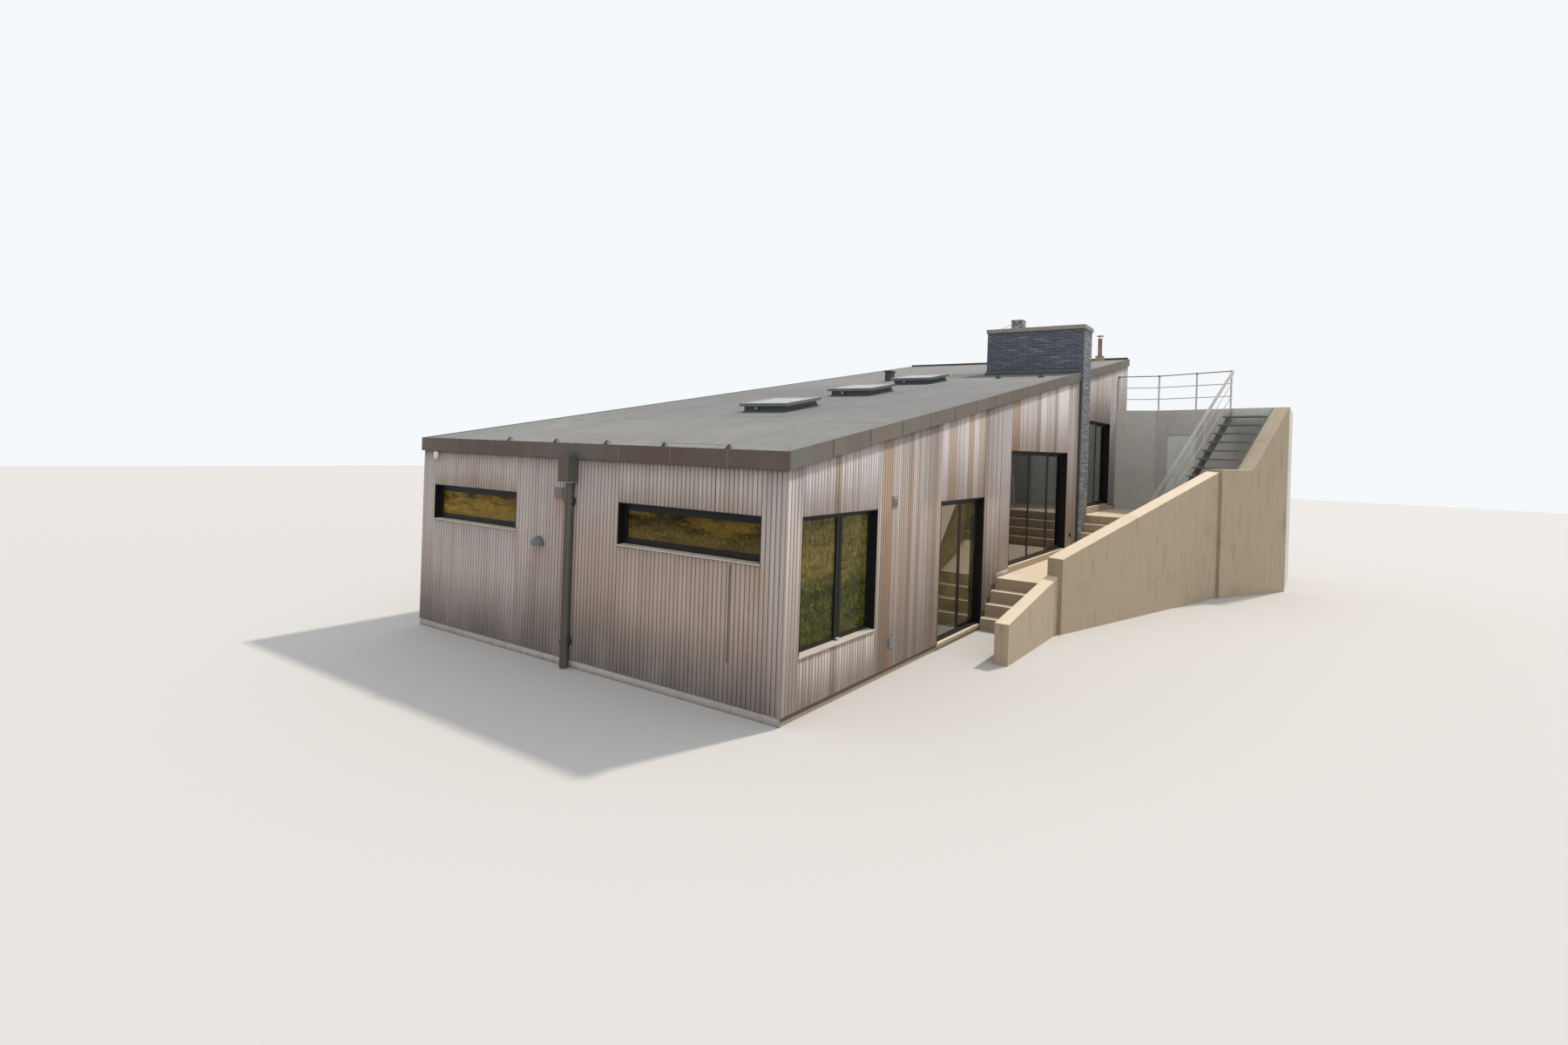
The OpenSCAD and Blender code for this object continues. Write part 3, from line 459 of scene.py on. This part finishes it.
# The record's material slots
FINISH = {
    "timber": wall_core,
    # Sandy concrete: its pale level colour and dark upright one are painted sun and shade
    "concrete_sand": concrete((0.74, 0.60, 0.435), (0.43, 0.335, 0.225), (0.23, 0.175, 0.115)),
    "concrete_grey": concrete((0.56, 0.53, 0.475), (0.59, 0.575, 0.515), (0.39, 0.37, 0.325), 0.4),
    "floor_screed": plaster,
    "roof_felt": felt,
    "edge_metal": edge_metal,
    "brick_dark": mortar,
    "cap_concrete": concrete((0.355, 0.32, 0.268), (0.285, 0.26, 0.215), (0.16, 0.14, 0.11)),
    "frame_black": plain((0.007, 0.008, 0.008), 0.5, 0.0, (0.016, 0.016, 0.017), 0.5, 6.0, IOR=1.3),
    "glazing": door_pane,
    "rooflight_pane": plain((0.25, 0.243, 0.243), 0.25, 0.0, (0.31, 0.303, 0.305), 0.8, 1.5),
    "zinc": plain((0.17, 0.16, 0.15), 0.55, 0.2, (0.26, 0.245, 0.23), 0.6),
    "sill_stone": plain((0.55, 0.465, 0.37), 0.8, 0.0, (0.38, 0.31, 0.24), 0.6),
    "galvanised": plain((0.50, 0.49, 0.46), 0.5, 0.2, (0.36, 0.35, 0.33), 0.5),
    "steel_dark": plain((0.34, 0.345, 0.325), 0.6, 0.1, (0.24, 0.235, 0.215), 0.5),
    "rust_pipe": plain((0.20, 0.10, 0.055), 0.85, 0.0, (0.30, 0.17, 0.10), 0.7),
    "lamp_grey": plain((0.13, 0.138, 0.14), 0.45, 0.2, (0.18, 0.185, 0.18), 0.5),
    "door_grey": plain((0.755, 0.80, 0.75), 0.6, 0.0, (0.63, 0.66, 0.61), 0.5),
}
MATERIAL = {slot: material(slot, build) for slot, build in FINISH.items()}
# Looks of the pieces made here
BOARDS = material("boards", timber)
BRICKS = material("bricks", brick)
FOOT = material("foot_strip", concrete((0.50, 0.46, 0.42), (0.44, 0.40, 0.36), (0.20, 0.18, 0.16)))
WHITE = material("white_plastic", plain((0.72, 0.71, 0.69), 0.5))
BLACK = material("black_detail", plain((0.02, 0.02, 0.02), 0.5))
PALE_METAL = material("pale_metal", plain((0.42, 0.43, 0.42), 0.45, 0.3, (0.25, 0.26, 0.25), 0.5))
VENT_METAL = material("vent_slat_metal", plain((0.205, 0.21, 0.205), 0.5, 0.2, (0.15, 0.15, 0.145), 0.5))
VENT_GREEN = material("vent_slat_green", plain((0.235, 0.275, 0.215), 0.6, 0.1, (0.16, 0.185, 0.145), 0.5))
LIGHT_METAL = material("light_metal", plain((0.30, 0.285, 0.27), 0.5, 0.2, (0.21, 0.195, 0.18), 0.5))
SLOT_GREY = material("slot_grey", plain((0.085, 0.08, 0.076), 0.7))
DARK_FELT = material("dark_felt", plain((0.085, 0.09, 0.09), 0.9, 0.0, (0.13, 0.13, 0.125), 0.5))
# CAD nodes whose look isn't their slot's
OWN = {
    "window_glass": material("dune_reflection_pane", dune_reflection_pane),
    # Downpipe: brown, and greenish grey on its faces towards +x, partly verdigris and partly painted light
    "downpipe": material("pipe_metal", painted_light_by_facing(0, (0.096, 0.065, 0.047), (0.105, 0.118, 0.102),
                                                 edge=(0.55, 0.8))),
    "rooflight_frames": material("kerb_metal", kerb),
    # Roof vents: dark, with painted light on their faces towards +x
    "roof_vents": material("vent_metal", painted_light_by_facing(0, (0.04, 0.05, 0.058), (0.09, 0.105, 0.115))),
    "roof_flue": material("flue", flue),
    "deck_railing": material("railing", railing),
    "stair_handrail": material("handrail", plain((0.64, 0.575, 0.52), 0.5, 0.1, (0.48, 0.43, 0.385), 0.5)),
    # Treads: painted light on their pale tops, painted shade on their dark sides
    "stair_treads": material("treads", painted_light_by_facing(2, (0.15, 0.152, 0.143), (0.52, 0.51, 0.47), 0.65, 0.1)),
    "chimney_cowl": material("cowl_metal", mottled),
}

for part in frame["record"]["subparts"]:
    for s in frame["nodes"][part["node"]].material_slots:
        s.material = OWN.get(part["node"], MATERIAL[part["material_slot"]])


# ---------------------------------------------------------------------- pieces
def piece(name, verts, faces, mat, slot, body="house", **points):
    """A closed mesh from arrays; points holds numbers stored on its vertices."""
    me = bpy.data.meshes.new(name)
    me.vertices.add(len(verts))
    me.vertices.foreach_set("co", np.asarray(verts, np.float32).ravel())
    me.loops.add(faces.size)
    me.loops.foreach_set("vertex_index", faces.astype(np.int32).ravel())
    me.polygons.add(len(faces))
    me.polygons.foreach_set("loop_start", np.arange(0, faces.size, faces.shape[1], dtype=np.int32))
    me.update(calc_edges=True)
    for key, value in points.items():
        me.attributes.new(key, "FLOAT", "POINT").data.foreach_set("value", np.asarray(value, np.float32))
    me.materials.append(mat)
    me.validate()
    o = bpy.data.objects.new(name, me)
    bpy.context.scene.collection.objects.link(o)
    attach(o, body)
    return o


def prisms(s0, s1, d0, d1, z0, top0, top1):
    """Corners (n, 8, 3) in wall measures (along, out, up): four at z0, and four on the
    line from top0 at s0 to top1 at s1."""
    s0, s1, d0, d1, z0, top0, top1 = np.broadcast_arrays(s0, s1, d0, d1, z0, top0, top1)
    rows = [(s0, d0, z0), (s1, d0, z0), (s1, d1, z0), (s0, d1, z0),
            (s0, d0, top0), (s1, d0, top1), (s1, d1, top1), (s0, d1, top0)]
    return np.stack([np.stack(r, -1) for r in rows], -2).astype(float)


def on_wall(corners, start, along, out):
    """Row-frame points, start + s times along + d times out + z up, and the faces with
    their normals outwards."""
    along, out = np.array(along, float), np.array(out, float)
    basis = np.array([along, out, [0, 0, 1]])
    v = corners @ basis + place(start)
    faces = BOX_FACES if np.linalg.det(basis) > 0 else BOX_FACES[:, ::-1]
    n = len(corners)
    return v.reshape(-1, 3), (faces[None] + 8 * np.arange(n)[:, None, None]).reshape(-1, 4)


def board_rows(length, openings, foot, top):
    """Boards along a wall as rows (s0, s1, z0, top0, top1): one every PITCH, split at the
    sides of an opening, and within it cut into a part below and a part above."""
    s0 = np.arange(0.004, length - 0.02, PITCH)
    s1 = np.minimum(s0 + PITCH - GAP, length)
    for c in sorted({c for o in openings for c in o[:2]}):
        hit = (s0 < c - 1e-4) & (s1 > c + 1e-4)
        s0, s1 = np.r_[s0, np.full(hit.sum(), c)], np.r_[np.where(hit, c, s1), s1[hit]]
    keep = s1 - s0 > 0.003
    s0, s1 = s0[keep], s1[keep]
    mid = (s0 + s1) / 2
    z0, t0, t1 = foot(mid), top(s0), top(s1)
    rows, inside = [], np.zeros(len(mid), bool)
    for a, b, lo, hi in openings:
        m = (mid > a) & (mid < b)
        inside |= m
        rows.append(np.c_[s0, s1, z0, np.full(len(mid), lo), np.full(len(mid), lo)][m])
        rows.append(np.c_[s0, s1, np.full(len(mid), hi), t0, t1][m])
    rows.append(np.c_[s0, s1, z0, t0, t1][~inside])
    rows = np.concatenate(rows)
    return rows[rows[:, 3] - rows[:, 2] > 0.02]


def courses(width, z0, z1, brick_l=0.24, brick_h=0.04, joint=0.01):
    """Bricks of one face as rows (s0, s1, z0, z1): brick k starts at k times its length and
    joint, half of that earlier in every second course, and is clipped to the face."""
    z = np.arange(z0, z1 - 0.01, brick_h + joint)
    k = np.arange(-1, int(width / brick_l) + 2)
    s = k[None] * (brick_l + joint) - (np.arange(len(z)) % 2)[:, None] * (brick_l + joint) / 2
    s0 = np.clip(s, 0, width).ravel()
    s1 = np.clip(s + brick_l, 0, width).ravel()
    zz = np.repeat(z, len(k))
    rows = np.c_[s0, s1, zz, np.minimum(zz + brick_h, z1)]
    return rows[(s1 - s0) > 0.01]


def boxes(name, rows, mat, slot, wall):
    """Closed boxes from rows (along from, to, out from, to, height from, to)."""
    s0, s1, d0, d1, z0, z1 = np.array(rows, float).T
    verts, faces = on_wall(prisms(s0, s1, d0, d1, z0, z1, z1), *wall)
    return piece(name, verts, faces, mat, slot)


def bar_between(name, a, b, r, mat, sides=8):
    """A closed round bar from a to b, measured from the front corner: at both ends the ring
    r times (cos t u + sin t w), where u and w are square to the bar."""
    a, b = place(a), place(b)
    d = (b - a) / np.linalg.norm(b - a)
    u = np.cross(d, [0.3, 0.9, 0.1])
    u /= np.linalg.norm(u)
    w = np.cross(d, u)
    t = np.arange(sides) * 2 * np.pi / sides
    ring = r * (np.cos(t)[:, None] * u + np.sin(t)[:, None] * w)
    i = np.arange(sides)
    j = (i + 1) % sides
    walls = np.c_[i, j, j + sides, i + sides]
    verts = np.r_[a + ring, b + ring]
    me = bpy.data.meshes.new(name)
    me.from_pydata(verts.tolist(), [], walls.tolist() + [i[::-1].tolist(), (i + sides).tolist()])
    me.materials.append(mat)
    o = bpy.data.objects.new(name, me)
    bpy.context.scene.collection.objects.link(o)
    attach(o, "house")
    return o


def apron(name, x0, x1, y0, y1, z0, z1, reach):
    """A sloping skirt round a kerb, a closed ring with a triangle for its section: three
    rectangles over the roof, at the reach and z0, at the kerb and z1, at the kerb and z0."""
    def rect(grow, lift):
        corners = np.array([(x0 - grow, y0 - grow), (x1 + grow, y0 - grow),
                            (x1 + grow, y1 + grow), (x0 - grow, y1 + grow)])
        return np.c_[corners, lift + eave(corners[:, 1]) + ROOF_T]
    verts = place(np.r_[rect(reach, z0), rect(0, z1), rect(0, z0)])
    i = np.arange(4)
    j = (i + 1) % 4
    faces = np.r_[np.c_[i, j, j + 4, i + 4], np.c_[i + 4, j + 4, j + 8, i + 8], np.c_[i + 8, j + 8, j, i]]
    return piece(name, verts, faces, DARK_FELT, "roof_felt")


def level_foot(s):
    """Foot line of the boards where the ground is level."""
    return np.full(np.shape(s), BOARD_FOOT)


def side_foot(y):
    """Foot line of the boards on the door side, above steps, landing, terrace and deck."""
    y = np.asarray(y, float)
    z = np.full(y.shape, 0.0)
    for start, level in ((5.75, LANDING / 4), (5.99, LANDING / 2), (6.23, LANDING * 0.75),
                         (LANDING_Y, LANDING), (CHIMNEY[1], TERRACE), (STORE_Y, DECK)):
        z = np.where(y > start, level, z)
    return z + np.where(y > STORE_Y, 0.03, BOARD_FOOT)


def read(table, y):
    """Values of a table of (distance, value) rows at the distances y."""
    distances, values = zip(*table)
    return np.interp(y, distances, values)


# ---------------------------------------------------------------------- boards
# A wall's start, the way along it and the way out of it
FRONT = ((0, 0, 0), (1, 0, 0), (0, -1, 0))
RIGHT = ((0, 0, 0), (0, 1, 0), (1, 0, 0))
LEFT = ((-HOUSE_W, 0, 0), (0, 1, 0), (-1, 0, 0))
BACK = ((0, HOUSE_L, 0), (1, 0, 0), (0, 1, 0))
ABOVE_ROOF = 9.0
# Each wall with its length, openings (from, to, foot, head), foot line and top line.
# Front and back are measured from the left corner here. The chimney cuts the door
# side's boards like an opening.
WALLS = {
    "front": ((-HOUSE_W, 0, 0), *FRONT[1:], HOUSE_W,
              [(0.3, 2.29, 1.65, 2.18), (4.29, 6.467, 1.65, 2.18)], level_foot, lambda s: eave(0) + 0 * s),
    "right": (*RIGHT, HOUSE_L,
              [SIDE_WINDOW, DOOR_1, DOOR_2, (*CHIMNEY, 0.0, ABOVE_ROOF), DOOR_3], side_foot, eave),
    "left": (*LEFT, HOUSE_L,
             [(1.5, 3.22, 0.657, 2.18), (7.6, 9.777, 2.43, 2.96), (12.4, 14.577, 3.24, 3.77)],
             level_foot, eave),
    "back": ((-HOUSE_W, HOUSE_L, 0), *BACK[1:], HOUSE_W,
             [(0.9, 2.89, 4.6, 5.13), (3.7, 5.69, 4.6, 5.13)], level_foot, lambda s: eave(HOUSE_L) + 0 * s),
}
# Brown boards on the door side, from the photo: from, to, strength
BROWN_BOARDS = [(0.95, 1.06, 0.9), (2.12, 2.40, 1.0), (2.88, 3.02, 1.0), (3.62, 3.85, 0.6),
                (4.25, 4.52, 0.9), (5.00, 5.25, 0.9), (5.45, 5.95, 0.6), (7.08, 7.55, 1.0),
                (8.60, 8.80, 0.8), (9.80, 10.0, 0.8), (11.3, 11.4, 0.4), (13.34, 13.6, 0.5)]
# What is added to the tone of the door side's boards, by distance from the front,
# and what is added to that over its openings
SIDE_TONE = [(0, 0.05), (0.15, -0.2), (0.3, -0.2), (0.8, 0.1), (2.1, -0.05), (3.0, -0.1), (3.9, -0.3),
             (5.8, -0.3), (6.1, -0.1), (6.8, -0.1), (6.95, 0.3), (7.1, -0.1), (10.8, -0.15), (11.0, -0.2),
             (15.0, -0.05), (15.1, 0.1)]
TONE_OVER_OPENINGS = [(0.9, 0.35), (1.4, 0.7), (1.8, 0.55), (2.1, 0), (3.9, -0.2), (4.0, 0.75), (5.7, 0.5),
                      (5.8, -0.6), (7.0, -0.35), (7.1, 0.45), (8.8, 0.5), (9.0, 0.9), (10.8, 0.9), (10.9, 0)]
GROUP_STEP = 0.13  # boards this near to each other are alike
for name, (start, along, out, length, openings, foot, top) in WALLS.items():
    rows = board_rows(length, openings, foot, top)
    s0, s1, z0, t0, t1 = rows.T
    verts, faces = on_wall(prisms(s0, s1, 0, PROUD, z0, t0, t1), start, along, out)
    mid = (s0 + s1) / 2
    knots = np.arange(0, 18, GROUP_STEP)
    group = np.interp(mid, knots, rng.random(len(knots)))
    spread = 0.55 if name == "front" else 1.0
    shade = 0.5 + spread * (0.35 * group + 0.65 * rng.random(len(rows)) - 0.5)
    brown = (rng.random(len(rows)) < (0.01 if name == "front" else 0.06)) * 0.5
    if name == "right":
        shade += read(SIDE_TONE, mid)
        shade += (z0 > DOOR_HEAD) * read(TONE_OVER_OPENINGS, mid)
        for a, b, strength in BROWN_BOARDS:
            brown = np.where((mid > a) & (mid < b), strength, brown)
    piece("boards_" + name, verts, faces, BOARDS, "timber",
          tone=np.repeat(np.clip(shade, 0, 1), 8), odd=np.repeat(brown, 8))

# ---------------------------------------------------------------------- bricks
# Faces of the stack: start, the way along, the way out, width, lowest course
STACK = {
    "front": ((CHIMNEY_X[0], CHIMNEY[0], 0), (1, 0, 0), (0, -1, 0), CHIMNEY_W, 4.7),
    "back": ((CHIMNEY_X[0], CHIMNEY[1], 0), (1, 0, 0), (0, 1, 0), CHIMNEY_W, 4.9),
    "right": ((CHIMNEY_X[1], CHIMNEY[0], 0), (0, 1, 0), (1, 0, 0), CHIMNEY[1] - CHIMNEY[0], 0.8),
    "left": ((CHIMNEY_X[0], CHIMNEY[0], 0), (0, 1, 0), (-1, 0, 0), CHIMNEY[1] - CHIMNEY[0], 4.9),
}
for name, (start, along, out, width, lowest) in STACK.items():
    s0, s1, b0, b1 = courses(width, lowest, BRICK_TOP).T
    depth = 0.004 + 0.004 * rng.random(len(s0))
    verts, faces = on_wall(prisms(s0, s1, 0, depth, b0, b1, b1), start, along, out)
    piece("bricks_" + name, verts, faces, BRICKS, "brick_dark", tone=np.repeat(rng.random(len(s0)), 8))

# -------------------------------------------------------------- trim, fittings
# Corner laths close the notch between the boards of two walls
BACK_LATH_TOP = 5.5
boxes("corner_laths", [
    (0, PROUD, 0, PROUD, BOARD_FOOT, EAVE - 0.01),
    (-HOUSE_W - PROUD, -HOUSE_W, 0, PROUD, BOARD_FOOT, EAVE - 0.01),
    (0, PROUD, -HOUSE_L - PROUD, -HOUSE_L, BOARD_FOOT, BACK_LATH_TOP),
    (-HOUSE_W - PROUD, -HOUSE_W, -HOUSE_L - PROUD, -HOUSE_L, BOARD_FOOT, BACK_LATH_TOP)],
    BOARDS, "timber", FRONT)
# Pale strip between the ground and the boards
STRIP_H, STRIP_OUT = 0.095, 0.008
boxes("foot_front", [(-HOUSE_W, 0, 0, STRIP_OUT, 0, STRIP_H)], FOOT, "concrete_sand", FRONT)
boxes("foot_left", [(0, HOUSE_L, 0, STRIP_OUT, 0, STRIP_H)], FOOT, "concrete_sand", LEFT)
boxes("foot_back", [(-HOUSE_W, 0, 0, STRIP_OUT, 0, STRIP_H)], FOOT, "concrete_sand", BACK)
boxes("foot_right", [(a, b, 0, 0.02, level, level + 0.09) for a, b, level in (
    (LANDING_Y, DOOR_2[0], LANDING), (DOOR_2[1], CHIMNEY[0], LANDING), (DOOR_3[1], STORE_Y, TERRACE))],
    FOOT, "concrete_sand", RIGHT)
# Front: sensor, vent slats, clamp plates and bolts, hopper lip
boxes("sensor", [(-6.448, -6.384, 0.012, 0.07, 2.565, 2.675)], WHITE, "lamp_grey", FRONT)
boxes("vent_slats", [(-3.675, -3.514, 0.022, 0.031, z, z + 0.012) for z in np.arange(2.165, 2.29, 0.026)],
      VENT_METAL, "zinc", FRONT)
boxes("clamp_bolts", [(-3.27, -3.262, 0.03, 0.07, z + 0.09, z + 0.19) for z in (0.21, 2.0)]
      + [(-3.262, -3.245, 0.04, 0.06, z, z + 0.018) for z in (0.315, 0.372, 2.105, 2.162)],
      BLACK, "zinc", FRONT)
boxes("hopper_lip", [(-3.429, -3.231, 0.0, 0.180, 2.378, 2.386)], PALE_METAL, "zinc", FRONT)
# Door side: light with dark grey bars painting the shade in its slots, vent, small socket, latch of the
# window
boxes("side_light", [(2.425, 2.525, 0.022, 0.026, 2.205, 2.315)], LIGHT_METAL, "lamp_grey", RIGHT)
boxes("side_light_slots", [(2.433, 2.517, 0.0255, 0.029, z, z + 0.013) for z in (2.22, 2.25, 2.28)],
      SLOT_GREY, "lamp_grey", RIGHT)
boxes("side_vent_slats", [(2.41, 2.54, 0.022, 0.030, z, z + 0.014) for z in np.arange(0.355, 0.47, 0.028)],
      VENT_GREEN, "zinc", RIGHT)
boxes("socket", [(11.2, 11.27, 0.012, 0.045, 1.11, 1.19)], BLACK, "frame_black", RIGHT)
boxes("window_latch", [(1.165, 1.235, -0.07, -0.035, 0.695, 0.708)], PALE_METAL, "zinc", RIGHT)


# ---------------------------------------------------------- chimney cowl, roof
def at_cowl(x0, x1, y0, y1, z0, z1):
    """A row for boxes() from distances to the cowl's axis."""
    return (COWL_X + x0, COWL_X + x1, -COWL_Y + y0, -COWL_Y + y1, z0, z1)


def square_ring(half, thick, z0, z1):
    """Rows of four boxes round the cowl's axis, from half a side inwards by thick."""
    inner = half - thick
    return [at_cowl(-half, half, -half, -inner, z0, z1), at_cowl(-half, half, inner, half, z0, z1),
            at_cowl(-half, -inner, -inner, inner, z0, z1), at_cowl(inner, half, -inner, inner, z0, z1)]


# Black bands painting the shade inside the slots of the cowl's body, then its hood: louvre blades between
# posts, under a lid
slots = [(z, z + 0.014) for z in (5.995, 6.03, 6.065)]
for name, half_x, half_y in (("cowl_slots_x", 0.085, 0.113), ("cowl_slots_y", 0.113, 0.085)):
    boxes(name, [at_cowl(-half_x, half_x, -half_y, half_y, a, b) for a, b in slots], BLACK, "zinc", FRONT)
hood = [row for z in (5.99, 6.03, 6.07, 6.11, 6.15) for row in square_ring(0.135, 0.010, z, z + 0.025)]
hood += [at_cowl(a - 0.014, a + 0.014, b - 0.014, b + 0.014, 5.975, 6.175)
         for a in (-0.122, 0.122) for b in (-0.122, 0.122)]
hood += [at_cowl(-0.142, 0.142, -0.142, 0.142, 6.175, 6.195)]
boxes("cowl_hood", hood, OWN["chimney_cowl"], "zinc", FRONT)
bar_between("cowl_stay", (-1.69, COWL_Y, 6.12), (-2.14, COWL_Y, 5.955), 0.006, PALE_METAL)
# Felt upstands round the kerbs, and a bracket on each rooflight
for n, y in enumerate(ROOFLIGHTS, 1):
    apron("apron_%d" % n, *ROOFLIGHT_X, y + 0.06, y + 0.99, 0.001, 0.05, 0.03)
    base = float(eave(y + 0.03)) + ROOF_T
    boxes("bracket_%d" % n, [(-3.15, -3.105, -y - 0.06, -y - 0.01, base + 0.035, base + 0.105)],
          PALE_METAL, "zinc", FRONT)
apron("chimney_apron", CHIMNEY_X[0] - 0.01, 0.0, CHIMNEY[0] - 0.01, CHIMNEY[1] + 0.01, 0.001, 0.10, 0.04)

# ---------------------------------------------------------------- camera, light
# The photograph's camera: place in the row frame, angles in radians, lens and shift
EYE = (7.8906, -15.1325, 2.9374)
YAW, PITCH_DOWN, ROLL = 0.6062, -0.0014, 0.0332
LENS_MM, SENSOR_MM, SHIFT_Y = 17.594, 36, -0.04966
SUN_FROM, SUN_POWER, SUN_SPREAD = (0.19, 0.57, 0.80), 2.5, math.radians(3)
SKY_DIFFUSE, SKY_SEEN, SKY_STRENGTH = (0.75, 0.80, 0.875), (0.80, 0.82, 0.84), 1.15
FLOOR_HALF, FLOOR_Z = 60, -0.001

ahead = np.array([-math.sin(YAW), math.cos(YAW), 0])
aside = np.array([math.cos(YAW), math.sin(YAW), 0])
up = np.array([0, 0, 1.0])
look = ahead * math.cos(PITCH_DOWN) - up * math.sin(PITCH_DOWN)
head = up * math.cos(PITCH_DOWN) + ahead * math.sin(PITCH_DOWN)
cam = bpy.data.objects.new("camera", bpy.data.cameras.new("camera"))
turn = np.eye(4)
turn[:3, 0] = aside * math.cos(ROLL) + head * math.sin(ROLL)
turn[:3, 1] = head * math.cos(ROLL) - aside * math.sin(ROLL)
turn[:3, 2] = -look
turn[:3, 3] = EYE
cam.matrix_world = Matrix(turn.tolist())
cam.data.sensor_width = SENSOR_MM
cam.data.lens = LENS_MM
cam.data.shift_y = SHIFT_Y
cam.data.clip_end = 500
bpy.context.scene.collection.objects.link(cam)
bpy.context.scene.camera = cam
bpy.context.scene.view_settings.view_transform = "Standard"

sun = bpy.data.objects.new("sun", bpy.data.lights.new("sun", "SUN"))
sun.data.energy = SUN_POWER
sun.data.angle = SUN_SPREAD
sun.data.color = (1.0, 0.95, 0.88)
sun.rotation_mode = "QUATERNION"
sun.rotation_quaternion = Vector(SUN_FROM).to_track_quat("Z", "Y")
bpy.context.scene.collection.objects.link(sun)

# The sky's light is bluish; seen directly, mirrored or through glass it is greyer
world = bpy.data.worlds.new("world")
bpy.context.scene.world = world
world.use_nodes = True
world.node_tree.nodes.clear()
Sock.tree = world.node_tree
path = world.node_tree.nodes.new("ShaderNodeLightPath")
seen = sum(Sock(path.outputs["Is %s Ray" % kind]) for kind in ("Camera", "Glossy", "Transmission"))
colour = mix(SKY_DIFFUSE, SKY_SEEN, seen.math("MINIMUM", 1.0))
sky = Sock.node("ShaderNodeBackground", {}, {"Color": colour, "Strength": SKY_STRENGTH})
output = world.node_tree.nodes.new("ShaderNodeOutputWorld")
world.node_tree.links.new(sky.socket, output.inputs["Surface"])

floor = bpy.data.meshes.new("floor")
corners = [(x * FLOOR_HALF, y * FLOOR_HALF, FLOOR_Z) for x, y in ((-1, -1), (1, -1), (1, 1), (-1, 1))]
floor.from_pydata(corners, [], [(0, 1, 2, 3)])
floor.materials.append(material("ground", plain((0.54, 0.51, 0.47), 0.9)))
floor_obj = bpy.data.objects.new("floor", floor)
bpy.context.scene.collection.objects.link(floor_obj)
